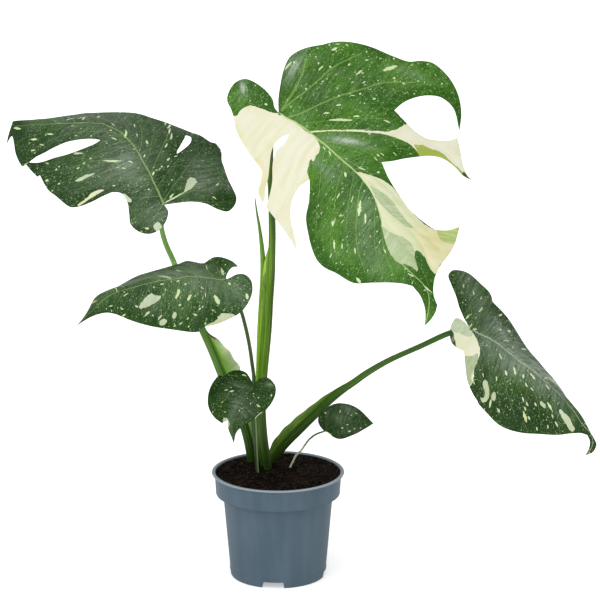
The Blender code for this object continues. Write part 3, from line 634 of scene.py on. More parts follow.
def bladeSurfaces(leaf, sheet, flat, rib, side, ridge, edge):
    shape, scale, seed = leafMesh, leaf["veinScale"], leaf["seed"]
    middle, normal = bladeMiddle(leaf, sheet, flat, edge)
    # slow waves that grow towards the margin, the same as the solid's
    reach = np.minimum(np.abs(flat[:, 0]) / shape["waveFrom"], 1.2) ** 2
    waves = np.sin(flat[:, 1] / shape["longWave"] + seed)
    waves += 0.6 * np.sin(flat[:, 1] / shape["shortWave"] + flat[:, 0] / shape["slant"] + 2 * seed)
    lift = shape["wave"] * reach * waves
    # the blade swells between its veins, and its veins lie in grooves
    inner = np.clip(edge / shape["reliefFrom"], 0.0, 1.0)
    lift += inner * shape["swell"] * scale * (0.6 - np.exp(-(ridge / shape["swellWidth"]) ** 2))
    lift -= inner * shape["groove"] * scale * np.exp(-(rib / shape["grooveWidth"]) ** 2)
    half = shape["blade"] / 2 * (0.45 + 0.55 * np.clip(edge / shape["thinFrom"], 0.0, 1.0))
    ribs = inner * shape["underRib"] * scale * np.exp(-(rib / shape["ridgeWidth"]) ** 2)
    ribs += inner * shape["underVein"] * scale * np.exp(-(side / shape["ridgeWidth"]) ** 2)
    return np.vstack([middle + normal * away[:, None] for away in (lift + half, lift - half - ribs)])


def buildLeaf(leaf, name):
    rng = np.random.default_rng(int(leaf["seed"] * 10))
    sheet = LeafSheet(leaf)
    flat, triangles, kinds, loops = flatLeaf(leaf, sheet, rng)
    rib, side, ridge, edge = veinFields(leaf, flat, loops)
    count = len(flat)
    rim = []
    directed = {(int(t[i]), int(t[(i + 1) % 3])) for t in triangles for i in range(3)}
    for a, b in sorted(directed):
        if (b, a) not in directed:
            rim += [(b, a, a + count), (b, a + count, b + count)]
    faces = np.vstack([triangles, triangles[:, ::-1] + count, rim])
    places = bladeSurfaces(leaf, sheet, flat, rib, side, ridge, edge) * mm
    mesh = bpy.data.meshes.new(name)
    mesh.from_pydata(places.tolist(), [], faces.tolist())
    shift = np.full(count, leaf["seed"] * 50)
    fields = {
        "place": np.column_stack([flat, shift]), "fan": np.column_stack([sheet.points(flat)[1], shift]),
        "lightpaint": paintedLightField(leaf, flat), "veins": np.column_stack([rib, side, edge])}
    for label, values in fields.items():
        addField(mesh, label, "POINT", np.concatenate([values, values]))
    tints = np.array([leafTints.get(kind, (0, 0, 0)) for kind in kinds], float)
    marked = (kinds != "green").astype(float)
    blank = len(rim)
    addField(mesh, "tint", "FACE", np.vstack([tints, tints, np.tile(leafTints["margin"], (blank, 1))]))
    addField(mesh, "mark", "FACE", np.concatenate([marked, marked, np.full(blank, leafMesh["margin"])]))
    addField(mesh, "under", "FACE", np.repeat((0.0, 1.0), (len(kinds), len(kinds) + blank)))
    mesh.validate()
    finishMesh(mesh, leafMaterial(leaf, name), leafMesh["sharp"])
    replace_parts(addPiece(name, mesh), leaf["node"])
    print("leaf", name, len(faces), "triangles")


topLeaf = {
    "node": "leaf_top", "seed": 0.7, "flecks": 780, "fleckSize": (0.85, 3.8),
    "dullFlecks": 0.72, "veinScale": 1,
    "spine": [(-36, 0, 556), (3, -12, 538), (74, -38, 492), (124, -78, 427), (163, -120, 355)],
    "face": [(0, -80, 25), (150, -75, 25), (290, -80, 15)],
    "left": [(-60, 2, 10), (0, 10, 8), (150, 14, 8), (290, 14, 6)],
    "right": [(-60, 2, 8), (0, 10, 8), (150, 10, 10), (290, 14, 6)],
    "leftVeins": [(-60, 105), (0, 95), (150, 65), (290, 45)],
    "rightVeins": [(-60, 105), (0, 95), (150, 65), (290, 45)],
    "outline": [
        [(-3, -9), (-10, -15), (-16, -26), (-19, -42), (-17, -54), (-8, -61), (4, -62), (14, -59), (21, -50),
        (26, -45)],
        [(38, -36), (47, -24), (54, -8), (59, 4), (64, 17), (73, 22), (86, 27), (94, 40)],
        [(86, 37), (78, 32), (67, 28), (55, 21.5), (42, 15), (30, 13), (20, 16), (14, 21)],
        [(25, 22), (35, 19), (46, 21), (54, 25), (68, 34.5), (84, 42), (95, 46)],
        [(98, 58), (101, 74), (103, 92), (105, 112), (106, 132)],
        [(101, 117), (96, 102), (90, 88), (82, 77), (72, 70), (57, 67), (42, 72)],
        [(50, 80), (61, 91), (74, 103), (83, 122), (89, 148), (90, 166), (86, 182), (78, 195), (66, 215),
        (45, 228), (28, 237), (15, 245), (8, 251)],
        [(5, 264), (6, 277), (9, 286), (15, 296)],
        [(6, 293), (-2, 288), (-8, 281)],
        [(-9, 271), (-12, 263), (-20, 251), (-33, 240), (-49, 232), (-64, 223), (-81, 208)],
        [(-62, 207), (-48, 201), (-39, 187), (-33, 172), (-30, 150), (-30, 130), (-34, 113)],
        [(-46, 118), (-62, 123), (-79, 129), (-94, 135), (-106, 143), (-114, 154), (-119, 166), (-132, 177)],
        [(-124, 169), (-125, 158), (-131, 147), (-138, 137)],
        [(-128, 135), (-114, 129), (-101, 121), (-94, 110), (-91, 98), (-90, 87)],
        [(-105, 88), (-122, 92), (-139, 99), (-152, 108), (-157, 120), (-147, 134)],
        [(-163, 126), (-175, 114), (-181, 100), (-178, 84), (-168, 75), (-155, 67), (-148, 54), (-141, 36),
        (-129, 18), (-113, -1), (-98, -13), (-83, -21), (-68, -25), (-50, -23), (-30, -17), (-13, -10),
        (0, -2)],
    ],
    "holes": [],
    "sideVeins": [
        (1.7, [(-5, -1), (-21, -2), (-37, -3), (-62, -8), (-82, -14)]),
        (1.7, [(-4, 0), (-18, 2), (-39, 8), (-66, 13), (-84, 16), (-100, 21), (-124, 30)]),
        (1.7, [(-1, 9), (-13, 18), (-36, 29), (-60, 40), (-91, 55), (-106, 61), (-140, 84)]),
        (1, [(-1, 38), (-12, 51), (-35, 74), (-62, 98), (-71, 107), (-91, 120), (-108, 135), (-117, 151),
        (-118, 165)]),
        (0.45, [(-1, 24), (-22, 44), (-48, 66), (-76, 88)]),
        (0.45, [(1, 55), (-14, 76), (-28, 98), (-34, 110)]),
        (0.45, [(1, 80), (-8, 105), (-22, 140), (-30, 170), (-40, 200)]),
        (0.45, [(-1, 105), (-12, 140), (-20, 180), (-42, 222)]),
        (0.45, [(-2, 140), (-10, 165), (-22, 205), (-22, 240)]),
        (0.45, [(4, 165), (-2, 200), (-10, 235), (-9, 258)]),
        (0.45, [(0, 0), (10, -18), (14, -40)]),
        (1, [(0, 8), (20, 2), (40, -4), (58, 4)]),
        (0.45, [(1, 44), (22, 40), (52, 46), (84, 60)]),
        (0.45, [(1, 52), (30, 52), (70, 74), (96, 104)]),
        (0.45, [(2, 62), (26, 76), (50, 98), (74, 130), (84, 160)]),
        (0.45, [(2, 91), (24, 104), (46, 128), (68, 160), (76, 186)]),
        (0.45, [(0, 105), (20, 124), (44, 156), (60, 196)]),
        (1, [(-2, 119), (10, 128), (24, 146), (42, 178), (50, 212)]),
        (0.45, [(-1, 145), (14, 168), (28, 196), (34, 226)]),
        (0.45, [(9, 175), (18, 196), (22, 218), (20, 236)]),
    ],
    "patches": [
        ("cream", [(27, -50), (25, -42), (22, -41), (18, -41), (14, -39), (11, -37), (8, -34), (6, -27),
        (5, -21), (4, -13), (3, -7), (0, 0), (0, 9), (-1, 19), (1, 34), (1, 46), (3, 52), (7, 58), (12, 61),
        (18, 61), (25, 62), (23, 58), (25, 58), (31, 61), (37, 64), (44, 73), (60, 80), (107, 140), (116, 128),
        (104, 40), (44, -43)]),
        ("straw", [(60, -2), (66, 8), (76, 16), (88, 20), (96, 32), (96, 40), (84, 34), (70, 27), (60, 20),
        (54, 8)]),
        ("cream", [(-42, 77), (-52, 87), (-60, 93), (-68, 97), (-76, 100), (-84, 101), (-90, 102), (-97, 98),
        (-100, 112), (-108, 120), (-120, 126), (-144, 133), (-138, 150), (-130, 162), (-128, 173), (-121, 168),
        (-117, 164), (-112, 160), (-106, 150), (-90, 136), (-81, 130), (-79, 121), (-75, 112), (-68, 104),
        (-58, 94), (-50, 85)]),
        ("cream", [(-1.5, 38.5), (-13, 50.7), (-24, 61.6), (-36, 72.4), (-48, 83), (-60, 92.5), (-62, 96),
        (-50, 87.5), (-40, 79), (-35, 74), (-23, 62.9), (-12, 51.8), (-1, 39.5)]),
        ("olive", [(-81, 136), (-80, 128), (-82, 119), (-86, 121), (-92, 124), (-98, 130), (-106, 136),
        (-110, 142), (-113, 149), (-117, 156), (-120, 162), (-121, 168), (-112, 168), (-104, 152), (-94, 143)]),
        ("deep", [(-122, 162), (-123, 167), (-124, 174), (-114, 170), (-115, 164)]),
        ("ivory", [(-1, 106), (-7, 113), (-14, 120), (-20, 127), (-24, 133), (-27, 138), (-30, 153),
        (-33, 170), (-36, 183), (-46, 200), (-84, 204), (-90, 214), (-62, 232), (-36, 236), (-22, 245),
        (-22, 237), (-20, 230), (-19, 223), (-17, 218), (-12, 216), (-9, 221), (-7, 227), (-5, 237), (-2, 233),
        (0, 227), (4, 223), (11, 216), (12, 209), (14, 199), (12, 188), (9, 178), (5, 167), (2, 157),
        (-1, 146), (-2, 136), (-2, 126), (-2, 117)]),
        ("straw", [(-20, 202), (-36, 190), (-46, 200), (-84, 204), (-90, 214), (-62, 232), (-36, 238),
        (-22, 247), (-20, 228), (-24, 214)]),
        ("lime", [(-50, 203), (-66, 202), (-84, 204), (-90, 212), (-66, 224), (-56, 221), (-47, 212)]),
        ("pale", [(-4, 128), (-12, 139), (-17, 148), (-19, 163), (-21, 178), (-24, 192), (-18, 188),
        (-12, 176), (-6, 163), (-3, 148)]),
        ("pale", [(9, 174), (3, 186), (-7, 197), (-12, 210), (-9, 220), (-4, 238), (2, 228), (10, 222),
        (14, 214), (15, 200), (12, 186)]),
    ],
    "midrib": [
        (0, 0), (0, 9), (-1, 19), (-1, 29), (0, 41), (1, 50), (1, 60), (2, 71), (2, 83), (1, 95), (-1, 107),
        (-2, 117), (-2, 126), (-2, 136), (-1, 146), (2, 157), (5, 167), (9, 178), (12, 188), (14, 199),
        (13, 209), (11, 217), (7, 227), (3, 237), (-2, 249), (-4, 255), (-4, 266), (2, 280), (14, 295)],
    "streaks": [
        (-26, 47, -44, 65, 3.2), (-28, 38, -34, 43, 2), (-102, 4, -109, 7, 3), (-84, 12, -84, 15, 3),
        (-122, 56, -140, 63, 3.5), (14, 137, 25, 152, 4), (62, 159, 67, 170, 2.5), (53, 136, 55, 143, 2.5),
        (61, 211, 59, 220, 3), (9, 99, 12, 105, 2.5), (-112, 3, -115, 7, 2), (-119, 12, -120, 15, 2),
        (-46, 43, -51, 47, 1.8), (-69, 48, -72, 51, 1.6), (-48, 63, -54, 68, 2), (-71, 86, -75, 92, 1.8),
        (4, 68, 7, 74, 1.6), (4, 60, 6, 65, 1.6), (-53, 112, -54, 116, 1.5), (-35, 104, -36, 108, 1.5),
        (-39, 105, -41, 110, 1.6), (-30, 105, -31, 110, 1.6), (-6, 104, -12, 111, 1.8),
        (35, 118, 28, 115, 1.6), (24, 133, 18, 128, 1.6), (57, 143, 48, 137, 1.8), (46, 147, 41, 145, 1.5),
        (17, 153, 23, 164, 2), (76, 175, 71, 171, 1.6), (56, 169, 59, 175, 1.8), (46, 181, 49, 188, 1.8),
        (19, 199, 19, 204, 1.8), (7, 236, 2, 242, 1.8), (-3, 254, -9, 267, 2), (-50, -22, -63, -21, 1.8),
        (-98, 27, -103, 28, 1.6), (-71, 6, -80, 7, 1.8), (-100, 42, -103, 44, 1.5), (-118, 37, -122, 39, 1.8),
        (-93, 39, -105, 41, 1.8), (-91, 49, -96, 50, 1.6), (-123, 67, -126, 69, 1.8),
        (-126, 76, -129, 78, 1.8), (-82, 66, -86, 68, 1.8)],
    # painted light spots: (x, y, length, width, turn, amount); painted sheen where positive, painted highlight
    # past 1, painted shade where negative
    "paintedLights": [
        (-62, -17, 24, 6, 5, 1.8), (-20, 76, 22, 4.5, 129, 2.1), (-6, -50, 10, 3.5, 40, 1.6),
        (-146, 78, 24, 6, 125, 0.6), (23, 78, 20, 6, 84, 0.85), (41, -31, 16, 5, 50, -0.8),
        (-40, 214, 24, 17, 110, -1.1), (70, 14, 30, 14, 40, -0.5), (36, 8, 10, 5, 80, -0.5),
        (20, 150, 70, 16, 80, 0.35), (30, 190, 50, 16, 70, 0.3), (84, 140, 60, 8, 95, -0.7),
        (78, 190, 40, 8, 125, -0.5), (-58, 116, 24, 7, 165, -0.9), (-8, 262, 24, 10, 90, -0.8),
        (-12, 228, 14, 8, 90, -0.8), (-150, 92, 40, 10, 170, -0.35), (2, -30, 20, 12, 90, -0.5),
        (-4, -50, 16, 6, 0, 0.5), (60, 120, 40, 16, 60, -0.3), (-100, 30, 60, 20, 120, -0.2)],
    "looks": {
        "Deep": (0.018, 0.08, 0.003), "Light": (0.08, 0.212, 0.019), "Bloom": (0.165, 0.24, 0.145),
        "Bloom Amount": 0.34, "Vein": (0.25, 0.42, 0.1), "Rib": (0.42, 0.56, 0.22)},
}
leftLeaf = {
    "node": "leaf_left", "seed": 2, "flecks": 500, "fleckSize": (0.8, 3.4),
    "dullFlecks": 0.75, "veinScale": 0.9,
    "spine": [
        (-117, -26, 419), (-127, -10, 436), (-142, 12, 467), (-157, 34, 488), (-179, 54, 505), (-213, 72, 511),
        (-256, 82, 510), (-296, 86, 508)],
    "face": [(0, -75, 35), (110, -85, 50), (240, -90, 62)],
    "left": [(-60, 8, 6), (0, 8, 6), (110, 22, 4), (240, 40, 4)],
    "right": [(-60, 6, 8), (0, 8, 8), (60, 20, 8), (100, 35, 8), (160, 40, 8), (233, 42, 8)],
    "leftVeins": [(-60, 115), (0, 105), (50, 88), (100, 62), (150, 44), (240, 35)],
    "rightVeins": [(-60, 110), (0, 95), (120, 65), (240, 50)],
    "outline": [
        [(15, -3), (34, -5), (50, -11), (60, -20), (70, -25), (80, -21), (88, -12), (91, 4), (95, 25),
        (103, 47), (110, 66), (109, 77)],
        [(101, 79), (97, 88), (90, 95), (88, 112), (86, 133), (79, 158), (68, 181), (52, 203), (32, 221),
        (12, 232), (-4, 237), (-16, 241), (-26, 243)],
        [(-17, 237), (-27, 234), (-40, 231), (-52, 224), (-60, 215)],
        [(-52, 206), (-46, 194), (-37, 181), (-29, 167), (-24, 150), (-21, 134), (-20, 119)],
        [(-28, 122), (-37, 132), (-46, 150), (-52, 171), (-58, 190), (-57, 214)],
        [(-71, 197), (-88, 167), (-99, 140), (-106, 110), (-107, 88), (-103, 60), (-97, 43), (-88, 36),
        (-74, 34), (-60, 35), (-48, 35)],
        [(-39, 29), (-36, 16), (-39, 1), (-42, -11), (-37, -23), (-27, -30), (-15, -29), (-4, -21), (2, -11),
        (1, -2)],
    ],
    "holes": [
        [(47, 63), (49, 66.5), (57, 73), (65, 79), (73, 84.5), (76, 87), (79, 87.5), (81, 85), (75, 78),
        (61, 70)],
    ],
    "sideVeins": [
        (1, [(1, 2), (19, 17), (34, 28), (48, 39), (67, 54), (79, 64), (95, 78)]),
        (1, [(0, 38), (20, 60), (37, 76), (66, 97), (80, 110)]),
        (1, [(1, 0), (24, 5), (38, 8), (56, 6), (71, 9), (86, 20), (98, 36)]),
        (0.45, [(1, 0), (22, -4), (48, -8), (72, -14)]),
        (1, [(0, 70), (25, 95), (50, 120), (70, 148)]),
        (0.45, [(0, 20), (26, 40), (58, 66), (86, 88)]),
        (0.45, [(0, 54), (22, 78), (48, 100), (74, 128)]),
        (1, [(3, 112), (20, 135), (40, 158), (55, 182)]),
        (0.45, [(2, 90), (22, 114), (44, 138), (62, 166)]),
        (1, [(4, 142), (18, 168), (33, 198)]),
        (1, [(1, 0), (-10, -9), (-25, -20)]),
        (1, [(1, 10), (-18, 14), (-34, 20)]),
        (1, [(0, 30), (-20, 42), (-45, 52), (-75, 60), (-98, 75)]),
        (0.45, [(0, 45), (-22, 60), (-50, 74), (-90, 96)]),
        (1, [(-1, 60), (-25, 80), (-50, 97), (-80, 115), (-98, 135)]),
        (0.45, [(0, 76), (-24, 100), (-40, 118)]),
        (1, [(1, 94), (-6, 116), (-12, 143), (-20, 180), (-34, 215)]),
        (0.45, [(2, 120), (-6, 160), (-14, 200), (-24, 232)]),
        (0.45, [(-46, 96), (-62, 130), (-74, 165)]),
    ],
    "patches": [
        ("white", [(27, 7), (38, 10), (46, 14), (51, 18), (51, 23), (46, 25), (40, 22), (36, 16), (31, 10)]),
        ("white", [(-77, 82), (-70, 84), (-62, 82), (-58, 79), (-54, 77), (-58, 75), (-66, 75), (-75, 76)]),
        ("ivory", [(-88, 40), (-78, 42), (-70, 45), (-62, 46), (-54, 42), (-62, 41), (-70, 40), (-78, 38),
        (-88, 37)]),
        ("white", [(-37, 28), (-32, 20), (-31, 13), (-34, 14), (-38, 20)]),
        ("white", [(-59, 220), (-53, 218), (-52, 211), (-58, 212)]),
        ("white", [(-46, 142), (-50, 135), (-54, 127), (-52, 121), (-47, 116), (-49, 125), (-47, 133),
        (-45, 139)]),
        ("white", [(-20, -22), (-14, -20), (-12, -27), (-18, -31), (-21, -26)]),
    ],
    "midrib": [
        (1, 0), (1, 13), (0, 27), (0, 42), (-1, 58), (0, 74), (1, 86), (2, 100), (3, 112), (4, 126), (5, 138),
        (2, 150), (-1, 164), (-1, 182), (-2, 199), (-2, 216), (-6, 233)],
    "streaks": [
        (30, 8, 2, 0, 2.2), (0, 97, 12, 107, 3.2), (-38, 88, -22, 71, 2.4), (-36, 84, -26, 72, 1.6),
        (18, 79, 22, 85, 2.8), (2, 62, 6, 66, 2.2), (28, 53, 34, 57, 2.4), (16, 44, 19, 46, 2),
        (24, 43, 28, 46, 2), (2, 36, 6, 41, 2.2), (10, 4, 17, 9, 2.4), (-8, 235, -9, 226, 2.8),
        (-35, 214, -35, 208, 2.2), (-22, 215, -22, 207, 2.4), (-30, -21, -26, -24, 2.6),
        (-103, 114, -99, 112, 3.6), (-85, 122, -83, 120, 2.8), (-94, 98, -92, 95, 3), (-67, 101, -63, 99, 2.4),
        (-48, 103, -46, 101, 2.2), (-44, 43, -41, 41, 2), (-26, 62, -22, 57, 1.8), (-104, 92, -105, 88, 3),
        (4, 176, 26, 160, 3), (6, 158, 22, 162, 2.6), (28, 152, 44, 158, 3), (60, 92, 76, 104, 1.8),
        (72, 104, 86, 112, 2), (78, 112, 88, 118, 1.6), (52, 82, 64, 92, 1.6), (36, 72, 44, 78, 1.6),
        (14, 92, 20, 98, 1.8), (40, 58, 46, 60, 1.6), (60, -4, 64, -8, 1.8), (72, 10, 78, 12, 1.8),
        (-12, 60, -16, 66, 1.5), (-10, 100, -12, 108, 1.5), (-60, 180, -63, 172, 2.4), (-68, 190, -70, 184, 2),
        (-28, 204, -30, 198, 1.8), (-16, 196, -17, 188, 1.8), (8, 120, 14, 128, 1.6), (30, 110, 40, 118, 1.6)],
    "paintedLights": [
        (-18, 44, 30, 15, 105, 0.5), (-22, 70, 26, 50, 90, 0.85), (54, 14, 18, 10, 15, 0.5),
        (86, 2, 10, 6, 60, 0.6), (-14, 130, 50, 12, 90, 0.35), (40, 150, 60, 60, 60, 0.45),
        (30, 200, 40, 40, 0, 0.45), (62, 30, 44, 34, 45, 0.85), (-60, 70, 60, 30, 110, 0.3),
        (-8, -16, 24, 22, 0, 0.9), (-10, 212, 34, 16, 90, -0.6), (48, 100, 36, 18, 45, -0.6),
        (-86, 100, 70, 26, 90, -0.75), (-70, 190, 40, 12, 65, -0.8), (-32, -24, 12, 8, 0, -0.4),
        (34, 44, 34, 16, 45, -0.7), (72, -8, 22, 12, 0, -0.5), (-30, 222, 34, 10, 20, -0.6),
        (80, 40, 40, 14, 70, -0.35), (20, 12, 20, 8, 30, -0.3)],
    "looks": {
        "Deep": (0.009, 0.034, 0.005), "Light": (0.046, 0.104, 0.028), "Bloom": (0.125, 0.165, 0.115),
        "Bloom Amount": 0.3},
}
middleLeaf = {
    "node": "leaf_middle", "seed": 3.3, "flecks": 260, "fleckSize": (1, 3.6),
    "dullFlecks": 0.62, "veinScale": 0.8,
    "spine": [
        (-38, -50, 373), (-58, -55, 361), (-79, -62, 367), (-112, -75, 370), (-144, -92, 369),
        (-181, -115, 362), (-215, -140, 333)],
    "face": [(0, -90, 62), (100, -95, 62), (190, -110, 45)],
    "left": [(-40, 5, 30), (0, 15, 20), (40, 30, 12), (100, 35, 10), (190, 25, 6)],
    "right": [(-40, 24, 8), (-10, 16.5, 8), (14, 27, 8), (60, 33, 8), (120, 42, 8), (180, 50, 6)],
    "leftVeins": [(-40, 100), (0, 85), (190, 50)],
    "rightVeins": [(-40, 100), (0, 85), (190, 50)],
    "outline": [
        [(4, -3), (11, -8), (14, -15), (8, -21)],
        [(22, -20), (38, -16), (53, -9), (63, 1), (67, 15), (66, 31), (64, 47), (59, 65), (51, 85), (42, 106),
        (32, 130), (23, 151), (12, 172), (0, 191)],
        [(-2, 183), (-5, 174), (-13, 160), (-24, 146), (-38, 127), (-50, 104), (-58, 80), (-63, 56), (-65, 38),
        (-64, 23), (-57, 12), (-47, 4), (-38, -6), (-29, -17), (-19, -23), (-8, -21), (-2, -14), (0, -2)],
    ],
    "holes": [],
    "sideVeins": [
        (1, [(0, 2), (-15, -2), (-35, -8), (-50, 2)]),
        (1, [(2, 20), (-20, 25), (-45, 38), (-60, 55)]),
        (0.45, [(3, 38), (-20, 44), (-48, 62)]),
        (1, [(1, 50), (-20, 62), (-40, 80), (-52, 98)]),
        (0.45, [(0, 70), (-18, 82), (-40, 106)]),
        (1, [(0, 85), (-15, 100), (-30, 120)]),
        (1, [(-1, 115), (-10, 130), (-20, 148)]),
        (1, [(1, 5), (20, 0), (45, 0), (60, 15)]),
        (1, [(2, 30), (22, 38), (45, 52), (58, 68)]),
        (0.45, [(2, 14), (26, 18), (58, 38)]),
        (1, [(0, 60), (20, 72), (40, 92)]),
        (0.45, [(2, 46), (22, 56), (48, 78)]),
        (1, [(0, 92), (14, 112), (28, 130)]),
        (1, [(0, 125), (10, 145), (17, 158)]),
    ],
    "patches": [
        ("white", [(-29, 111), (-27, 112), (-23, 108), (-18, 101), (-15, 91), (-18, 90), (-19, 84), (-21, 81),
        (-25, 87), (-28, 97)]),
        ("white", [(-62, 18), (-57, 14), (-50, 10), (-42, 7), (-44, 3), (-52, 6), (-60, 12)]),
        ("white", [(-52, 91), (-48, 90), (-46, 82), (-50, 80), (-53, 85)]),
        ("white", [(-49, 70), (-45, 72), (-40, 67), (-42, 65), (-47, 67)]),
        ("pale", [(0, 62), (6, 71), (20, 71), (13, 65)]),
    ],
    "midrib": [
        (1, -1), (3, 11), (1, 23), (3, 34), (3, 45), (0, 59), (0, 71), (0, 83), (0, 95), (-1, 108), (0, 130),
        (1, 150), (1, 170), (0, 191)],
    "streaks": [
        (-26, 63, -15, 56, 4), (-29, 48, -22, 42, 3.4), (-32, 8, -21, 11, 3.6), (-38, 109, -34, 100, 3),
        (-46, 92, -41, 85, 2.4), (-34, 61, -33, 57, 2.6), (-10, 126, -8, 119, 2), (-31, 137, -30, 131, 2.4),
        (-44, 42, -46, 36, 2.2), (-40, 34, -38, 31, 2), (-7, 79, -6, 73, 2.2), (-11, 49, -9, 47, 2.4),
        (-6, 58, -3, 53, 2), (-55, 63, -53, 58, 2), (-59, 50, -57, 48, 2.4), (-9, -3, -5, -2, 1.8),
        (-34, -8, -27, -10, 2.6), (10, -2, 27, -5, 3.4), (12, 152, 22, 157, 2.8), (0, 130, 30, 118, 1.6),
        (-24, 116, -26, 112, 2.2), (-50, 52, -48, 48, 2), (-36, 28, -39, 26, 2), (-20, 24, -26, 22, 1.8),
        (-57, 72, -55, 68, 2), (-14, 30, -16, 26, 1.6), (-22, 136, -24, 132, 1.6), (-12, 150, -14, 144, 1.6),
        (24, 42, 38, 44, 2), (30, 12, 56, 6, 1.6)],
    "paintedLights": [
        (20, 40, 40, 30, 60, 0.7), (-8, 18, 26, 10, 90, 0.55), (-30, 90, 50, 14, 75, 0.45),
        (-50, 30, 50, 14, 80, -0.6), (-20, 150, 40, 14, 60, -0.35), (24, 90, 60, 18, 75, 0.7),
        (-26, -8, 24, 14, 0, 0.6), (14, 140, 40, 12, 75, -0.3), (40, -8, 26, 8, 0, -0.4)],
    "looks": {
        "Light": (0.058, 0.135, 0.032)},
}
frontLeaf = {
    "node": "leaf_front", "seed": 4.6, "flecks": 60, "fleckSize": (0.8, 2),
    "dullFlecks": 0.75, "veinScale": 0.55,
    "spine": [
        (-24, -42, 245), (-28, -50, 236), (-39, -62, 226), (-48, -78, 213), (-51, -92, 202), (-48, -104, 188)],
    "face": [(0, -95, 35), (79, -100, 20)],
    "left": [(-30, 12, 10), (0, 12, 10), (79, 14, 8)],
    "right": [(-30, 12, 10), (0, 12, 10), (79, 14, 8)],
    "leftVeins": [(-20, 100), (0, 90), (79, 50)],
    "rightVeins": [(-20, 100), (0, 90), (79, 50)],
    "outline": [
        [(5, -9), (15, -17), (27, -17), (36, -11), (42, 2), (42, 18), (38, 30), (31, 41), (21, 49), (11, 54)],
        [(5, 50)],
        [(3, 62), (1, 71), (0, 79)],
        [(-4, 69), (-10, 59), (-19, 43), (-26, 26), (-28, 8), (-26, -5), (-21, -13), (-13, -17), (-6, -14),
        (-2, -9), (0, -2)],
    ],
    "holes": [],
    "sideVeins": [
        (1, [(0, 3), (14, 1), (32, 5), (40, 15)]),
        (1, [(0, 3), (-10, -2), (-20, -4), (-26, 2)]),
        (1, [(0, 16), (14, 20), (28, 32)]),
        (1, [(0, 16), (-12, 22), (-24, 32)]),
        (1, [(0, 34), (8, 42), (16, 50)]),
        (1, [(0, 34), (-8, 44), (-14, 52)]),
        (0.45, [(0, 10), (20, 12), (38, 24)]),
        (0.45, [(0, 25), (12, 33), (20, 42)]),
    ],
    "patches": [
        ("white", [(11, 47), (5, 49), (2, 57), (4, 60), (8, 57)]),
    ],
    "midrib": [
        (0, 0), (0, 12), (0, 26), (0, 40), (0, 52), (0, 64), (0, 78)],
    "streaks": [
        (-16, 13, -21, 12, 3), (18, 18, 14, 15, 1.8), (24, 19, 21, 17, 1.6), (21, 14, 19, 13, 1.2),
        (17, -13, 11, -12, 1.8), (-11, 19, -10, 16, 1.4), (-4, 35, -4, 33, 1.4), (-5, 31, -5, 30, 1.2),
        (-13, 6, -12, 5, 1.6), (-6, 6, -5, 5, 1.4), (-24, -1, -22, -2, 1.2), (11, 42, 11, 40, 1.4),
        (24, 45, 25, 43, 1.4), (28, 36, 27, 35, 1.3), (20, 32, 18, 30, 1.3), (-27, 14, -23, 34, 1.1)],
    "paintedLights": [
        (-17, -10, 5, 2.5, 10, 1.5), (-10, 46, 18, 5, 95, 0.8), (2, 48, 24, 4.5, 90, 1),
        (3, 26, 12, 6, 90, 0.6), (10, 5, 8, 3, 25, 0.9), (24, 4, 12, 10, 90, 0.35), (-16, 32, 14, 7, 75, 0.55),
        (-16, 4, 10, 8, 0, -0.4), (34, 20, 24, 6, 75, -0.5), (-10, 50, 16, 6, 70, -0.5)],
    "looks": {
        "Deep": (0.008, 0.033, 0.004), "Light": (0.032, 0.082, 0.012),
        "Speck Amount": 0.5, "Vein": (0.045, 0.1, 0.03), "Rib": (0.06, 0.12, 0.05)},
}
smallLeaf = {
    "node": "leaf_small", "seed": 5.9, "flecks": 30, "fleckSize": (0.8, 1.8),
    "dullFlecks": 0.85, "veinScale": 0.45,
    "spine": [(42, -12, 166.7), (52, -15, 173.7), (65, -20, 182.7), (81, -26, 188.7), (107, -34, 188.7)],
    "face": [(0, -90, 50), (59, -80, 45)],
    "left": [(-20, 10, 20), (0, 10, 20), (59, 12, 10)],
    "right": [(-20, 10, 20), (0, 10, 20), (59, 12, 10)],
    "leftVeins": [(-20, 95), (0, 85), (59, 55)],
    "rightVeins": [(-20, 95), (0, 85), (59, 55)],
    "outline": [
        [(3, 3), (10, 7), (17, 15), (19, 27), (15, 43), (8, 53), (0, 62)],
        [(-9, 52), (-18, 42), (-27, 29), (-32, 18), (-32, 6), (-28, -3), (-19, -6), (-9, -4), (0, 0)],
    ],
    "holes": [],
    "sideVeins": [
        (1, [(0, 4), (-12, 4), (-27, 8)]),
        (1, [(0, 16), (-12, 22), (-24, 32)]),
        (1, [(0, 30), (-8, 38), (-14, 46)]),
        (1, [(0, 10), (10, 16), (17, 28)]),
        (1, [(0, 26), (7, 34), (12, 45)]),
    ],
    "patches": [
        ("ivory", [(2, 1), (10, 4), (16, 7), (20, 15), (24, 24), (24, 36), (20, 36), (20.5, 26), (18, 17),
        (14, 10), (8, 7), (2, 3)]),
    ],
    "midrib": [
        (0, 0), (0, 14), (0, 30), (0, 46), (0, 61)],
    "streaks": [
        (-20, 22, -16, 21, 1.2), (-12, 41, -11, 39, 1.4), (-9, 36, -9, 34, 1.1), (6, 26, 7, 23, 1.4),
        (12, 36, 12, 32, 1.4), (7, 49, 8, 48, 1.4), (-27, 3, -24, 5, 1.4), (9, 42, 9, 40, 1.2),
        (4, 33, 3, 30, 1)],
    "paintedLights": [
        (-16, 33, 9, 5, 60, 0.9), (-25, 25, 8, 3, 65, 0.6), (-26, 5, 7, 4, 30, 0.6), (-6, 24, 10, 6, 90, 0.4),
        (10, 30, 20, 6, 90, 0.35), (-18, -1, 12, 4, 0, -0.6), (-4, 12, 10, 5, 0, -0.4)],
    "looks": {
        "Deep": (0.007, 0.027, 0.003), "Light": (0.026, 0.062, 0.008),
        "Speck Amount": 0.35, "Vein": (0.06, 0.13, 0.04), "Rib": (0.045, 0.1, 0.04)},
}
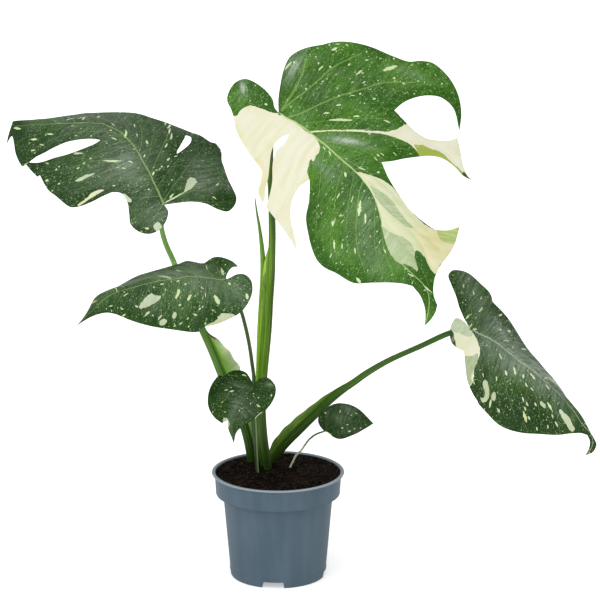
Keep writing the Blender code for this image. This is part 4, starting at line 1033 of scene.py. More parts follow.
rightLeaf = {
    "node": "leaf_right", "seed": 7.2, "flecks": 540, "fleckSize": (0.7, 2.8),
    "dullFlecks": 0.65, "veinScale": 0.85,
    "spine": [
        (202, -2, 308), (217, -5, 290), (248, -12, 276), (275, -22, 257), (304, -36, 238), (328, -52, 216),
        (347, -70, 188)],
    "face": [(0, -85, 45), (100, -80, 50), (210, -60, 30)],
    "left": [(-60, 5, 8), (0, 22, 8), (50, 46, 8), (130, 62, 8), (181, 50, 6)],
    "right": [(-60, 10, 10), (0, 15, 10), (100, 15, 8), (210, 20, 6)],
    "leftVeins": [(-60, 105), (0, 90), (60, 70), (190, 45)],
    "rightVeins": [(-60, 105), (0, 90), (60, 70), (190, 45)],
    "outline": [
        [(1, -14), (6, -21), (14, -18), (21, -12), (27, -4), (26, 5)],
        [(40, 11), (57, 20), (68, 34), (71, 52), (72, 76), (74, 98), (68, 116), (54, 138), (36, 159),
        (20, 170), (9, 176), (4, 181)],
        [(5, 188), (10, 195), (18, 200)],
        [(9, 201), (1, 196), (-4, 187), (-5, 178)],
        [(-12, 168), (-24, 154), (-38, 134), (-47, 111), (-54, 90), (-59, 70), (-63, 50), (-67, 27), (-66, 4),
        (-61, -15), (-54, -32), (-46, -48), (-37, -58), (-28, -64), (-20, -63), (-16, -54), (-12, -40),
        (-6, -27), (-2, -14), (0, -3)],
    ],
    "holes": [],
    "sideVeins": [
        (1, [(-1, 3), (-20, 0), (-45, -10), (-60, -12)]),
        (0.45, [(-1, 2), (-18, -14), (-30, -36), (-30, -56)]),
        (1, [(-2, 10), (-19, 18), (-40, 25), (-62, 29)]),
        (0.45, [(-1, 26), (-22, 38), (-58, 54)]),
        (1, [(-1, 40), (-20, 55), (-42, 75), (-53, 88)]),
        (0.45, [(-1, 58), (-18, 74), (-44, 104)]),
        (1, [(-2, 75), (-15, 92), (-32, 115), (-38, 128)]),
        (1, [(0, 110), (-12, 130), (-22, 150)]),
        (1, [(-1, 2), (8, -8), (16, -14)]),
        (1, [(-1, 5), (12, 16), (24, 30), (37, 46), (55, 62)]),
        (0.45, [(-2, 16), (14, 30), (40, 62), (64, 92)]),
        (1, [(-1, 30), (15, 48), (35, 72), (58, 100)]),
        (0.45, [(0, 46), (14, 66), (34, 92), (52, 120)]),
        (1, [(-1, 62), (12, 84), (28, 110), (45, 135)]),
        (0.45, [(-2, 80), (12, 102), (28, 130)]),
        (1, [(0, 95), (10, 118), (22, 140), (32, 155)]),
        (1, [(0, 130), (6, 150), (11, 165)]),
    ],
    "patches": [
        ("milk", [(11, -26), (2, -26), (0, -11), (1, 0), (5, 8), (12, 14), (20, 19), (27, 20), (30, 18),
        (58, 24), (62, 14), (40, 4), (30, -6), (24, -18)]),
        ("white", [(12, -28), (0, -28), (-2, -11), (0, -1), (4, 4), (9, 2), (13, -6), (18, -12), (18, -20)]),
        ("pale", [(30, 8), (27, 13), (22, 17), (27, 20), (37, 20), (49, 21), (58, 24), (56, 14), (40, 6)]),
        ("deep", [(18, -14), (18, -10), (21, -6), (24, -3), (29, 0), (30, -10), (24, -16)]),
        ("white", [(13, 168), (17, 170), (19, 167), (20, 158), (19, 145), (17, 138), (15, 137), (14, 145),
        (12, 152), (13, 160)]),
        ("white", [(45, 42), (48, 38), (52, 42), (54, 49), (58, 55), (62, 56), (64, 50), (66, 52), (65, 62),
        (60, 64), (53, 60), (48, 54), (45, 48)]),
        ("white", [(48, 64), (53, 64), (57, 69), (56, 73), (52, 71), (49, 68)]),
        ("white", [(24, 114), (27, 113), (28, 119), (27, 124), (24, 122)]),
        ("pale", [(0, 98), (-20, 97), (-44, 100), (-56, 106), (-50, 116), (-30, 106), (-10, 101)]),
    ],
    "midrib": [
        (-1, 0), (-2, 10), (-2, 22), (-1, 35), (0, 45), (0, 57), (-1, 69), (-3, 81), (0, 94), (0, 120),
        (0, 143), (0, 158), (0, 171), (-1, 182), (2, 190), (9, 197), (17, 200)],
    "streaks": [
        (57, 67, 65, 73, 2.8), (20, 120, 23, 132, 2.8), (47, 103, 55, 115, 3.4), (48, 111, 50, 116, 2.6),
        (31, 108, 33, 113, 2.6), (42, 101, 45, 105, 2), (36, 99, 39, 104, 2), (12, 64, 18, 72, 2.8),
        (21, 59, 25, 65, 2.4), (5, 82, 9, 92, 2.8), (12, 77, 16, 81, 2.2), (19, 85, 22, 90, 2),
        (20, 93, 21, 98, 2), (33, 55, 37, 59, 2.4), (4, 104, 7, 112, 2), (29, 144, 30, 152, 2.2),
        (50, 130, 52, 135, 2), (-40, -7, -28, -8, 3), (-37, -30, -35, -26, 2.8), (-12, -14, -3, -13, 2.4),
        (-8, -4, -1, -3, 2.2), (-6, 5, -2, 1, 2.2), (-20, -5, -17, -5, 2), (-62, 22, -52, 20, 2),
        (-24, 41, -12, 36, 2.8), (-48, 37, -40, 35, 2.8), (-33, 28, -28, 28, 2.8), (-20, 48, -14, 49, 2),
        (-52, 60, -36, 56, 2.4), (10, 40, 14, 48, 1.5), (34, 92, 38, 97, 1.8), (60, 80, 63, 86, 1.8),
        (38, 140, 41, 144, 1.6), (26, 134, 28, 140, 1.6), (52, 24, 56, 28, 1.6), (40, 32, 44, 36, 1.6),
        (-44, -20, -40, -18, 1.8), (-30, -44, -27, -40, 2)],
    "paintedLights": [
        (10, 42, 40, 9, 78, 0.6), (36, 108, 50, 13, 95, -0.6), (-45, -40, 40, 18, 60, 0.45),
        (-30, 24, 24, 16, 60, 0.9), (-20, 70, 40, 40, 90, 1), (-34, 120, 44, 26, 90, 0.95),
        (-3, 60, 60, 5, 90, 0.5), (6, 100, 50, 7, 90, 0.35), (58, 50, 60, 12, 95, -0.8),
        (45, 125, 50, 14, 115, -0.6), (-30, 0, 34, 26, 0, -0.1), (50, -6, 20, 14, 0, -0.3),
        (-40, -48, 20, 14, 0, 0.35), (10, 168, 16, 8, 0, -0.5)],
    "looks": {
        "Deep": (0.009, 0.035, 0.004), "Light": (0.038, 0.096, 0.013), "Bloom": (0.17, 0.215, 0.165),
        "Vein": (0.15, 0.22, 0.11), "Rib": (0.38, 0.45, 0.33)},
}
leaves = {
    "topLeaf": topLeaf, "leftLeaf": leftLeaf, "middleLeaf": middleLeaf, "frontLeaf": frontLeaf,
    "smallLeaf": smallLeaf, "rightLeaf": rightLeaf,
}
for name, leaf in leaves.items():
    buildLeaf(leaf, name)

# Stalks: rows of (x, y, z, radius, height of the sheath's thin wing if any), from inside the soil upwards.
# colours: (height, colour of the side towards +X, colour of the side towards -X). Besides each stalk's own
# colour, these paint light and shade across it: most stalks have the -X side, towards the lamp, painted
# lighter, and most run darker low down towards the soil.
stalks = {
    "topStalk": {
        "node": "petiole_top", "leaf": "topLeaf", "seed": 1, "stripes": 0.95, "wing": (-0.95, -0.3, 0),
        "wingColours": ((0.09, 0.19, 0.015), (0.2, 0.34, 0.05)),
        "rows": [
            (-11, 6, 109, 4.4), (-12, 5, 127, 4.6), (-16, 2, 158, 4.8), (-18, 0, 188, 4.6), (-18, -1, 208, 4.5),
            (-16, -1, 235, 4.4), (-11, 0, 288, 4.3, 2), (-9, 0, 322, 4.2, 5), (-7, 0, 350, 4, 6.5),
            (-6.5, 0, 370, 4, 4), (-6.2, 0, 384, 4, 0.2), (-6, 0, 397, 4), (-6.5, 1, 432, 3.8),
            (-8, 2, 471, 3.5), (-7, 1, 505, 3.3), (-2.5, -3, 528, 2.9)],
        "colours": [
            (110, (0.012, 0.032, 0.003), (0.016, 0.05, 0.003)),
            (190, (0.016, 0.042, 0.004), (0.05, 0.13, 0.004)),
            (225, (0.035, 0.085, 0.004), (0.13, 0.29, 0.006)),
            (340, (0.034, 0.078, 0.005), (0.12, 0.26, 0.007)), (420, (0.035, 0.08, 0.012), (0.07, 0.17, 0.015)),
            (540, (0.1, 0.18, 0.03), (0.1, 0.22, 0.03))],
    },
    "rolledLeaf": {
        "node": "spear", "leaf": "", "seed": 2, "stripes": 0.7,
        "rows": [
            (-15, 14.5, 107, 3.2), (-17, 14, 128, 3.4), (-20, 12, 155, 3.6), (-22, 10, 185, 3.7),
            (-22.5, 8, 206, 3.8), (-21, 8, 233, 4), (-19, 6, 286, 4.2), (-17, 4, 321, 4.2), (-16, 4, 350, 3.6),
            (-17, 2, 377, 2.7), (-20, 0, 405, 1.8), (-23, -2, 424, 1.1), (-25, -4, 441, 0.5)],
        "colours": [
            (110, (0.015, 0.05, 0.004), (0.015, 0.05, 0.004)), (190, (0.05, 0.14, 0.006), (0.05, 0.14, 0.006)),
            (225, (0.17, 0.36, 0.008), (0.19, 0.4, 0.01)), (340, (0.15, 0.32, 0.01), (0.19, 0.39, 0.014)),
            (400, (0.08, 0.2, 0.02), (0.11, 0.26, 0.03)), (440, (0.07, 0.16, 0.03), (0.09, 0.2, 0.04))],
    },
    "leftStalk": {
        "node": "petiole_left", "leaf": "leftLeaf", "seed": 3, "stripes": 0.7, "wing": (0.92, 0, 0.39),
        "wingColours": ((0.2, 0.42, 0.02), (0.62, 0.7, 0.46)), "torn": (274, 290),
        "rows": [
            (-29, 37, 99, 5, 1), (-30, 33, 122, 5.3, 2), (-34, 30, 149, 5.4, 3), (-39, 28, 168, 5.3, 6),
            (-51, 24, 198, 5.1, 12), (-63, 19, 229, 4.9, 17), (-70, 17, 248, 4.7, 14), (-77, 15, 266, 4.5, 8),
            (-83, 13, 280, 4.2, 0.5), (-103, 7, 330, 3.6), (-116, 3, 366, 3.1), (-125, 0, 389, 2.9),
            (-129, -2, 408, 2.7)],
        "colours": [
            (110, (0.012, 0.045, 0.004), (0.012, 0.045, 0.004)), (190, (0.035, 0.1, 0.008), (0.04, 0.12, 0.01)),
            (240, (0.08, 0.19, 0.025), (0.06, 0.15, 0.025)), (320, (0.09, 0.2, 0.03), (0.07, 0.16, 0.03)),
            (370, (0.22, 0.42, 0.1), (0.17, 0.34, 0.08)), (400, (0.24, 0.46, 0.11), (0.18, 0.37, 0.09))],
    },
    "middleStalk": {
        "node": "petiole_middle", "leaf": "middleLeaf", "seed": 4, "stripes": 0.6,
        "rows": [
            (-18, 29, 106, 2.3), (-20, 28, 126, 2.3), (-23, 25, 143, 2.3), (-27, 21, 160, 2.2),
            (-29, 16, 178, 2.2), (-31, 10, 196, 2.1), (-30, 3, 214, 2.1), (-27, -3, 229, 2.1),
            (-29, -12, 254, 2.1), (-32, -22, 279, 2.1), (-36, -32, 302, 2.1), (-41, -41, 323, 2),
            (-49, -48, 342, 2)],
        "colours": [
            (110, (0.02, 0.05, 0.008), (0.03, 0.07, 0.01)), (350, (0.035, 0.08, 0.016), (0.045, 0.1, 0.02))],
    },
    "frontStalk": {
        "node": "petiole_front", "leaf": "frontLeaf", "seed": 5, "stripes": 0.6, "narrow": 3.5,
        "rows": [
            (-23, -4, 110, 1.9), (-24, -6, 130, 1.9), (-25, -12, 156, 1.9), (-26, -20, 183, 1.9),
            (-27, -31, 209, 1.8)],
        "colours": [
            (110, (0.5, 0.62, 0.32), (0.008, 0.032, 0.002)), (245, (0.34, 0.46, 0.18), (0.012, 0.05, 0.004))],
    },
    "smallStalk": {
        "node": "petiole_small", "leaf": "smallLeaf", "seed": 6, "stripes": 0.2,
        "rows": [
            (12, 15, 111, 1.2), (13, 13, 120, 1.2), (17, 10, 130, 1.2), (21, 6.5, 139, 1.2), (26, 3, 145, 1.2),
            (31, 0, 153.5, 1.1), (35, -3, 160, 1.1), (40, -6.5, 165.5, 1.1), (45, -10, 169.5, 1.1)],
        "colours": [
            (115, (0.66, 0.72, 0.5), (0.66, 0.72, 0.5)), (146, (0.5, 0.56, 0.38), (0.5, 0.56, 0.38)),
            (156, (0.16, 0.23, 0.13), (0.16, 0.23, 0.13)), (166, (0.06, 0.11, 0.05), (0.06, 0.11, 0.05))],
    },
    "rightStalk": {
        "node": "petiole_right", "leaf": "rightLeaf", "seed": 7, "stripes": 0.45, "wing": (-0.65, -0.1, 0.76),
        "wingColours": ((0.035, 0.1, 0.002), (0.15, 0.27, 0.04)),
        "rows": [
            (-9, 30, 101, 4.6, 2), (-5, 27, 126, 4.8, 4), (7, 24, 145, 5, 8), (24, 22, 164, 5.2, 8.5),
            (42, 20, 183, 5, 6), (58, 17, 200, 4.6, 3.5), (74, 15, 214, 4.2, 0.8), (86, 13, 223, 3.9),
            (100, 11, 234, 3.7), (125, 8, 250, 3.2), (160, 6, 267, 3.1), (191, 5, 282, 3.2), (208, 4, 287, 3)],
        "colours": [
            (110, (0.005, 0.02, 0.001), (0.045, 0.065, 0.002)),
            (150, (0.004, 0.02, 0.001), (0.026, 0.068, 0.002)),
            (200, (0.007, 0.03, 0.001), (0.04, 0.11, 0.003)), (240, (0.022, 0.065, 0.008), (0.05, 0.13, 0.012)),
            (290, (0.035, 0.1, 0.014), (0.05, 0.13, 0.018))],
    },
}
stalkMesh = {
    "sides": 28, "ring": 3.0, "seatRadius": 1.8, "sink": 0.4, "gap": 20.0, "wingHalf": 0.45,
    "wingFoot": 0.93, "wingParts": (0.15, 0.4, 0.7, 1.0), "torn": (0.10, 0.06, 0.02), "sharp": 60.0,
}


def stalkRoute(stalk):
    rows = [(*row, 0)[:5] for row in stalk["rows"]]
    if stalk["leaf"]:
        # the last ring lies under the foot of its blade
        sheet = LeafSheet(leaves[stalk["leaf"]])
        patch = sheet.points(np.array([(0.0, 0.0), (2.0, 3.0), (-2.0, 3.0)]))[0]
        normal = unit(np.cross(patch[1] - patch[0], patch[2] - patch[0]))
        seat = patch[0] - normal * stalkMesh["sink"]
        rows.append((*seat, min(stalkMesh["seatRadius"], 0.85 * rows[-1][3]), 0))
    return rows


def ringSection(radius, wing, at, winged):
    # one ring of the stalk as (first, second, how far out on the wing)
    sides, gap = stalkMesh["sides"], math.radians(stalkMesh["gap"]) if winged else 0.0
    turns = [gap + (2 * math.pi - 2 * gap) * i / (sides - (1 if winged else 0)) for i in range(sides)]
    section = [(radius * math.cos(turn), radius * math.sin(turn), 0.0) for turn in turns]
    if winged:
        flutter = wing / 10.0 * (0.6 * math.sin(at / 9.0) + 0.4 * math.sin(at / 4.1 + 1.0))
        foot = radius * stalkMesh["wingFoot"]
        run = radius + wing * (1.0 + 0.05 * math.sin(at / 3.1)) - foot
        parts = stalkMesh["wingParts"]
        for part, way in [(part, -1) for part in parts] + [(part, 1) for part in reversed(parts)]:
            thin = stalkMesh["wingHalf"] * (1.6 - 1.1 * part)
            section.append((foot + run * part, flutter * part + way * thin, part))
    return section


def stalkShade(stalk, height, right, wing, part):
    rows = stalk["colours"]
    heights = [row[0] for row in rows]
    plusX, minusX = (np.array([np.interp(height, heights, [row[k][i] for row in rows]) for i in range(3)])
                     for k in (1, 2))
    # painted light and shade: the colour runs from the -X side's to the +X side's according to which way the
    # surface faces
    shade = plusX * right + minusX * (1 - right)
    if part > 0.0 and wing > 0.5:
        inner, outer = (np.array(tone) for tone in stalk["wingColours"])
        cover = min(1.0, wing / 4.0)
        shade = shade * (1 - cover) + (inner * (1 - part ** 1.4) + outer * part ** 1.4) * cover
        low, high = stalk.get("torn", (0.0, 0.0))
        if low < height < high and part > 0.3:
            shade = np.array(stalkMesh["torn"])
    return shade


def buildStalk(name, stalk):
    curve = smoothCurve(np.array(stalkRoute(stalk), float), 12)
    lengths = arcLengths(curve[:, :3])
    at = np.linspace(0, lengths[-1], int(lengths[-1] / stalkMesh["ring"]) + 2)
    rings = np.stack([np.interp(at, lengths, curve[:, i]) for i in range(5)], -1)
    tangents = unit(np.gradient(rings[:, :3], axis=0))
    aim = np.array(stalk.get("wing", (1.0, 0.0, 0.0)))
    points, skin, paint = [], [], []
    for k, (ring, tangent) in enumerate(zip(rings, tangents)):
        first = unit(aim - (aim @ tangent) * tangent)
        second = np.cross(tangent, first)
        wing = max(ring[4], 0.0)
        section = ringSection(ring[3], wing, at[k], "wing" in stalk)
        for a, b, part in section:
            place = ring[:3] + a * first + b * second
            turn = math.atan2(b, a)
            right = (0.5 + 0.5 * unit(a * first + b * second)[0]) ** stalk.get("narrow", 1.0)
            points.append(place)
            skin.append((math.cos(turn), math.sin(turn), at[k] / 40.0 + stalk["seed"] * 7.0))
            paint.append(stalkShade(stalk, place[2], right, wing, part))
    size, last = len(section), (len(rings) - 1) * len(section)
    faces = [tuple(reversed(range(size)))]
    for start in range(0, last, size):
        for i in range(size):
            j = (i + 1) % size
            faces.append((start + i, start + j, start + size + j, start + size + i))
    faces.append(tuple(range(last, last + size)))
    mesh = bpy.data.meshes.new(name)
    mesh.from_pydata((np.array(points) * mm).tolist(), [], faces)
    addField(mesh, "skin", "POINT", np.array(skin))
    addField(mesh, "paint", "POINT", np.array(paint))
    finishMesh(mesh, stalkMaterial(stalk, name), stalkMesh["sharp"])
    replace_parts(addPiece(name, mesh), stalk["node"])


def stalkMaterial(stalk, name):
    made, tree = newSkin(name + "Skin")
    skin, base = field(tree, "skin"), field(tree, "paint", "Color")
    lines = grain(tree, skin, (6.0, 6.0, 0.5), 4.0)
    fine = grain(tree, skin, (16.0, 16.0, 2.5))
    dark = blend(tree, 1.0, base, colour(0.45, 0.5, 0.4), "MULTIPLY")
    bright = blend(tree, 1.0, base, colour(1.9, 1.8, 1.6), "MULTIPLY")
    bright = blend(tree, 0.13, bright, colour(0.60, 0.72, 0.22))
    tone = blend(tree, times(tree, remap(tree, lines, 0.52, 0.40), stalk["stripes"]), base, dark)
    tone = blend(tree, times(tree, remap(tree, lines, 0.56, 0.66), stalk["stripes"]), tone, bright)
    tone = blend(tree, times(tree, remap(tree, fine, 0.55, 0.75), 0.3), tone, bright)
    rough = remap(tree, fine, 0.3, 0.7, (0.34, 0.5))
    coat(tree, tone, rough, lines, specular=0.16, strength=0.3, distance=0.0005)
    return made


for name, stalk in stalks.items():
    buildStalk(name, stalk)
print("stalks done")

# Pot: a thin-walled nursery pot with a collar, a rolled lip and four drain channels under its floor.
potShape = {
    "height": 122.0, "lip": 75.0, "collar": 71.6, "collarFoot": 96.5, "bodyTop": 62.3, "foot": 53.8,
    "wall": 1.4, "segments": 144, "channels": 4, "channelTurn": -96.0, "channelWidth": 27.0,
    "channelHeight": 7.3, "channelTaper": 1.8, "channelStart": 17.0, "drainRadius": 3.5, "drainAt": 36.0,
    "drainSpan": (4.5, 12.0), "drainSides": 32, "sharp": 42.0,
    "colour": (0.062, 0.097, 0.126), "pale": (0.080, 0.119, 0.152), "dust": (0.3, 0.3, 0.28),
    "collarShade": (0.02, 0.032, 0.04), "collarShadeAt": 0.0955, "lipWearAndHighlight": (0.42, 0.47, 0.52), "roughness": (0.42, 0.55),
}


def bodyRadius(height):
    shape = potShape
    return shape["foot"] + (shape["bodyTop"] - shape["foot"]) * height / shape["collarFoot"]


def outerProfile():
    foot, body, collar = potShape["foot"], potShape["bodyTop"], potShape["collar"]
    lip, top, step = potShape["lip"], potShape["height"], potShape["collarFoot"]
    return [
        (0, 0), (foot - 1.6, 0), (foot - 0.8, 0.1), (foot - 0.2, 0.6), (foot + 0.2, 1.4), (foot + 0.5, 3.0),
        (bodyRadius(9) + 0.5, 9), (bodyRadius(10) + 0.1, 10), (bodyRadius(12), 12), (bodyRadius(50), 50),
        (body - 0.15, step - 1.4), (body + 0.1, step - 0.5), (body + 0.7, step), (collar - 2.0, step),
        (collar - 1.4, step + 0.25), (collar - 1.2, step + 0.9), (collar - 0.15, top - 6.4),
        (collar + 0.3, top - 4.0), (collar + 0.9, top - 2.8), (lip - 1.3, top - 2.2), (lip - 0.6, top - 1.9),
        (lip - 0.2, top - 1.6), (lip, top - 1.1), (lip - 0.1, top - 0.6), (lip - 0.4, top - 0.25),
        (lip - 0.8, top - 0.05), (lip - 1.2, top), (0, top)]


def innerProfile():
    wall, step = potShape["wall"], potShape["collarFoot"] + potShape["wall"]
    foot, body, collar, top = potShape["foot"], potShape["bodyTop"], potShape["collar"], potShape["height"]
    return [
        (0, wall), (foot - 5.0, wall), (bodyRadius(6.0) - wall, 6.0), (body - wall, step - 1.5),
        (body - wall + 0.4, step), (collar - 1.2 - wall, step), (collar - wall, top - 3.4),
        (collar - 0.6, top - 0.5), (collar - 0.2, top), (collar - 0.2, top + 5.0), (0, top + 5.0)]


def addTool(name, points, faces):
    mesh = bpy.data.meshes.new(name)
    mesh.from_pydata((np.array(points) * mm).tolist(), [], faces)
    tool = bpy.data.objects.new(name, mesh)
    scene.collection.objects.link(tool)
    return tool


def circle(radius, height, sides, centre=(0.0, 0.0)):
    turns = [2 * math.pi * k / sides for k in range(sides)]
    return [(centre[0] + radius * math.cos(a), centre[1] + radius * math.sin(a), height) for a in turns]


def lathe(name, profile):
    segments, middle = potShape["segments"], profile[1:-1]
    points = [(0.0, 0.0, profile[0][1])]
    for radius, height in middle:
        points += circle(radius, height, segments)
    points.append((0.0, 0.0, profile[-1][1]))
    top = 1 + (len(middle) - 1) * segments
    faces = []
    for k in range(segments):
        n = (k + 1) % segments
        faces.append((0, 1 + n, 1 + k))
        for base in range(1, top, segments):
            faces.append((base + k, base + n, base + segments + n, base + segments + k))
        faces.append((top + k, top + n, len(points) - 1))
    return addTool(name, points, faces)


def channelTool(number, grow):
    low = potShape["channelWidth"] / 2 + grow
    high = low - potShape["channelTaper"]
    ceiling = potShape["channelHeight"] + grow
    points = []
    for x in (potShape["channelStart"] - grow, potShape["lip"]):
        points += [(x, -low, -5.0), (x, low, -5.0), (x, high, ceiling), (x, -high, ceiling)]
    faces = [(3, 2, 1, 0), (4, 5, 6, 7), (0, 1, 5, 4), (1, 2, 6, 5), (2, 3, 7, 6), (3, 0, 4, 7)]
    tool = addTool("channel", points, faces)
    tool.rotation_euler.z = math.radians(potShape["channelTurn"] + 90.0 * number)
    return tool


def drainTool(number):
    turn = math.radians(potShape["channelTurn"] + 90.0 * number)
    sides, away = potShape["drainSides"], potShape["drainAt"]
    centre = (away * math.cos(turn), away * math.sin(turn))
    low, high = (circle(potShape["drainRadius"], height, sides, centre) for height in potShape["drainSpan"])
    faces = [tuple(reversed(range(sides))), tuple(range(sides, 2 * sides))]
    faces += [(k, (k + 1) % sides, sides + (k + 1) % sides, sides + k) for k in range(sides)]
    return addTool("drain", low + high, faces)


def cutAway(thing, tools):
    for tool in tools:
        boolean = thing.modifiers.new("cut", "BOOLEAN")
        boolean.operation = "DIFFERENCE"
        boolean.solver = "EXACT"
        boolean.object = tool
    bpy.context.view_layer.update()
    done = bpy.data.meshes.new_from_object(thing.evaluated_get(bpy.context.evaluated_depsgraph_get()))
    for tool in tools:
        bpy.data.objects.remove(tool, do_unlink=True)
    thing.modifiers.clear()
    thing.data = done


def potMaterial():
    made, tree = newSkin("mouldedPlastic")
    place = put(tree, "TexCoord").outputs["Object"]
    cloudy = grain(tree, place, (30.0, 30.0, 12.0), 4.0)
    streaks = grain(tree, place, (80.0, 80.0, 3.0), 3.0)
    shade = plus(tree, times(tree, cloudy, 0.5), times(tree, streaks, 0.5))
    tone = blend(tree, remap(tree, shade, 0.38, 0.64), colour(*potShape["colour"]), colour(*potShape["pale"]))
    dust = remap(tree, grain(tree, place, 900.0, 3.0), 0.62, 0.75)
    tone = blend(tree, times(tree, dust, 0.12), tone, colour(*potShape["dust"]))
    # a line of painted shade lies under the collar's overhang, and the top of the rolled lip is worn pale and
    # painted with a highlight
    high = parted(tree, place)["Z"]
    # painted shade: a dark band just under the collar
    fromCollar = maths(tree, "ABSOLUTE", less(tree, high, potShape["collarShadeAt"]))
    tone = blend(tree, remap(tree, fromCollar, 0.0022, 0.0, (0.0, 0.45)), tone, colour(*potShape["collarShade"]))
    # painted highlight, partly wear: the top of the lip is painted pale
    tone = blend(tree, times(tree, remap(tree, high, 0.1204, 0.1212), 0.65), tone, colour(*potShape["lipWearAndHighlight"]))
    rough = remap(tree, shade, 0.35, 0.65, potShape["roughness"])
    coat(tree, tone, rough, grain(tree, place, 1400.0), specular=0.12, strength=0.12, distance=0.0002)
    return made


def buildPot():
    pot, room = lathe("nurseryPot", outerProfile()), lathe("room", innerProfile())
    numbers = range(potShape["channels"])
    cutAway(room, [channelTool(number, potShape["wall"]) for number in numbers])
    tools = [channelTool(number, 0.0) for number in numbers] + [drainTool(number) for number in numbers]
    cutAway(pot, [room] + tools)
    pot.data.materials.clear()
    finishMesh(pot.data, potMaterial(), potShape["sharp"])
    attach(pot, "root")
    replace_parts(pot, "pot")
    print("pot", len(pot.data.polygons), "faces")


buildPot()

# Soil: the packed soil stays, and a crumbly crust with loose bits lies on it.
soilShape = {
    "level": 120.2, "mound": 3.0, "moundAt": (-17.0, 20.0), "spread": 30.0, "wall": 71.6, "radius": 69.9,
    "cell": 1.3, "hem": 1.2, "crumbs": 900, "bits": 150, "bitShape": (1.0, 0.22, 0.16), "seed": 11,
    "dark": (0.0010, 0.0008, 0.0006), "brown": (0.0060, 0.0042, 0.0028), "damp": (0.012, 0.0075, 0.0045),
    "red": (0.030, 0.012, 0.006), "straw": (0.07, 0.045, 0.03),
}


def soilHeight(x, y):
    centre, spread = soilShape["moundAt"], soilShape["spread"]
    away = ((x - centre[0]) ** 2 + (y - centre[1]) ** 2) / spread ** 2
    rim = min(1.0, (soilShape["wall"] - math.hypot(x, y)) / 12.0)
    crumbs = noise.noise(Vector((x / 7.0, y / 7.0, 3.7))) + 0.5 * noise.noise(Vector((x / 3.5, y / 3.5, 8.1)))
    small = 0.5 * abs(noise.noise(Vector((x / 1.9, y / 1.9, 2.2)))) + 0.3 * noise.noise(Vector((x, y, 5.0)))
    height = soilShape["level"] + soilShape["mound"] * math.exp(-away) * rim
    return height + 0.9 * crumbs * (0.4 + 0.6 * rim) + 0.35 + 1.6 * small


def soilMaterial():
    made, tree = newSkin("peatSoil")
    place = put(tree, "TexCoord").outputs["Object"]
    bits = put(tree, "TexVoronoi", {"Vector": place, "Scale": 420.0})
    chance = parted(tree, bits.outputs["Color"])
    tone = remap(tree, grain(tree, place, 160.0, 5.0), 0.35, 0.68)
    tone = blend(tree, tone, colour(*soilShape["dark"]), colour(*soilShape["brown"]))
    layers = (
        (remap(tree, grain(tree, place, 22.0), 0.5, 0.6), 0.55, "damp"),
        (remap(tree, chance[0], 0.78, 0.9), 0.8, "red"), (remap(tree, chance[1], 0.9, 0.97), 0.5, "straw"))
    for mask, amount, name in layers:
        tone = blend(tree, times(tree, mask, amount), tone, colour(*soilShape[name]))
    coat(tree, tone, 0.92, grain(tree, place, 700.0, 4.0), specular=0.08, strength=0.7, distance=0.0012)
    return made


def lumpShape():
    # an octahedron cut once more, which a crumb is pushed and stretched from
    corners = [(1, 0, 0), (0, 1, 0), (-1, 0, 0), (0, -1, 0), (0, 0, 1), (0, 0, -1)]
    eighths = [(0, 1, 4), (1, 2, 4), (2, 3, 4), (3, 0, 4), (1, 0, 5), (2, 1, 5), (3, 2, 5), (0, 3, 5)]
    lump, faces = list(np.array(corners, float)), []
    for a, b, c in eighths:
        ab, bc, ca = len(lump), len(lump) + 1, len(lump) + 2
        lump += [unit(lump[a] + lump[b]), unit(lump[b] + lump[c]), unit(lump[c] + lump[a])]
        faces += [(a, ab, ca), (ab, b, bc), (ca, bc, c), (ab, bc, ca)]
    # points that lie together move together
    keys = {}
    twins = [keys.setdefault(tuple(np.round(p, 3)), i) for i, p in enumerate(lump)]
    return np.array(lump), faces, twins


def crustGrid(rng):
    radius, cell = soilShape["radius"], soilShape["cell"]
    rings = int(radius / cell)
    grid = [(0.0, 0.0)]
    for ring in range(1, rings + 1):
        count, at = max(6, int(2 * math.pi * ring)), radius * ring / rings
        turns = 2 * math.pi * (np.arange(count) + rng.random()) / count
        grid += list(zip(at * np.cos(turns), at * np.sin(turns)))
    result = delaunay_2d_cdt([Vector(p) for p in grid], [], [], 0, 1e-6)
    hem = [soilShape["hem"] if p.length > radius - 0.3 else 0.0 for p in result[0]]
    points = [(p.x, p.y, soilHeight(p.x, p.y) - drop) for p, drop in zip(result[0], hem)]
    return points, [tuple(f) for f in result[2]]


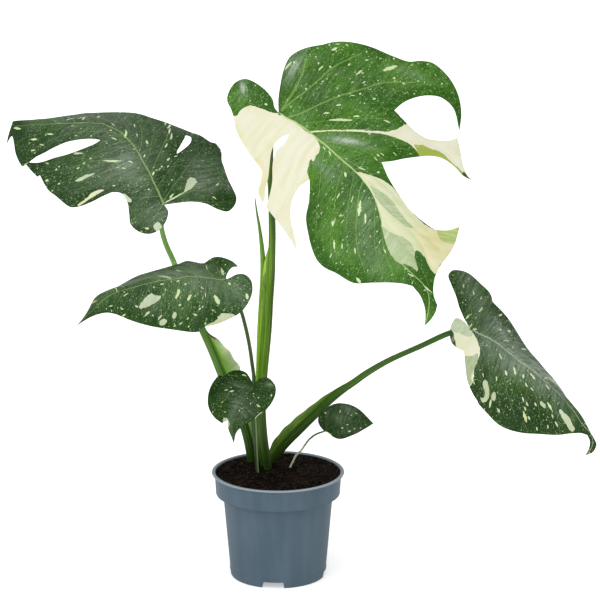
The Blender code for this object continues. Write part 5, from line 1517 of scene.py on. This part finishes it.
def buildSoil():
    rng = np.random.default_rng(soilShape["seed"])
    points, faces = crustGrid(rng)
    lump, lumpFaces, twins = lumpShape()
    for number in range(soilShape["crumbs"] + soilShape["bits"]):
        at = soilShape["radius"] * math.sqrt(rng.random()) * 0.985
        turn = rng.uniform(0, 2 * math.pi)
        x, y = at * math.cos(turn), at * math.sin(turn)
        size = 0.5 + 1.5 * rng.random() ** 2.5
        stretched = np.array((1.0, rng.uniform(0.6, 1.0), rng.uniform(0.5, 0.9)))
        if number >= soilShape["crumbs"]:
            size = rng.uniform(1.0, 2.4)
            stretched = np.array(soilShape["bitShape"])
        knobs = (1.0 + rng.normal(0.0, 0.16, (len(lump), 1)))[twins]
        a, b = rng.uniform(0, 2 * math.pi), rng.normal(0.0, 0.35)
        turnZ = np.array([(math.cos(a), -math.sin(a), 0), (math.sin(a), math.cos(a), 0), (0, 0, 1)])
        turnY = np.array([(math.cos(b), 0, math.sin(b)), (0, 1, 0), (-math.sin(b), 0, math.cos(b))])
        body = lump * knobs * stretched * size @ turnY.T @ turnZ.T + (x, y, soilHeight(x, y) + size * 0.1)
        first = len(points)
        points += [tuple(p) for p in body]
        faces += [tuple(first + i for i in f) for f in lumpFaces]
    mesh = bpy.data.meshes.new("soilCrust")
    mesh.from_pydata((np.array(points) * mm).tolist(), [], faces)
    mesh.shade_smooth()
    mesh.materials.append(soilMaterial())
    addPiece("soilCrust", mesh)
    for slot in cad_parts["soil"].material_slots:
        slot.material = mesh.materials[0]
    print("soil", len(faces), "faces")


buildSoil()


def buildFloor():
    mesh, half = bpy.data.meshes.new("floor"), light["floorHalf"]
    corners = [(-half, -half, 0), (half, -half, 0), (half, half, 0), (-half, half, 0)]
    mesh.from_pydata(corners, [], [(0, 1, 2, 3)])
    made, tree = newSkin("palePaper")
    values = {
        "Base Color": colour(*light["floor"]), "Roughness": 0.95, "Specular IOR Level": 0.0,
        "Emission Color": colour(1.0, 1.0, 1.0), "Emission Strength": light["floorGlow"]}
    for socket, value in values.items():
        tree.nodes["Principled BSDF"].inputs[socket].default_value = value
    mesh.materials.append(made)
    floor = bpy.data.objects.new("floor", mesh)
    scene.collection.objects.link(floor)


buildFloor()
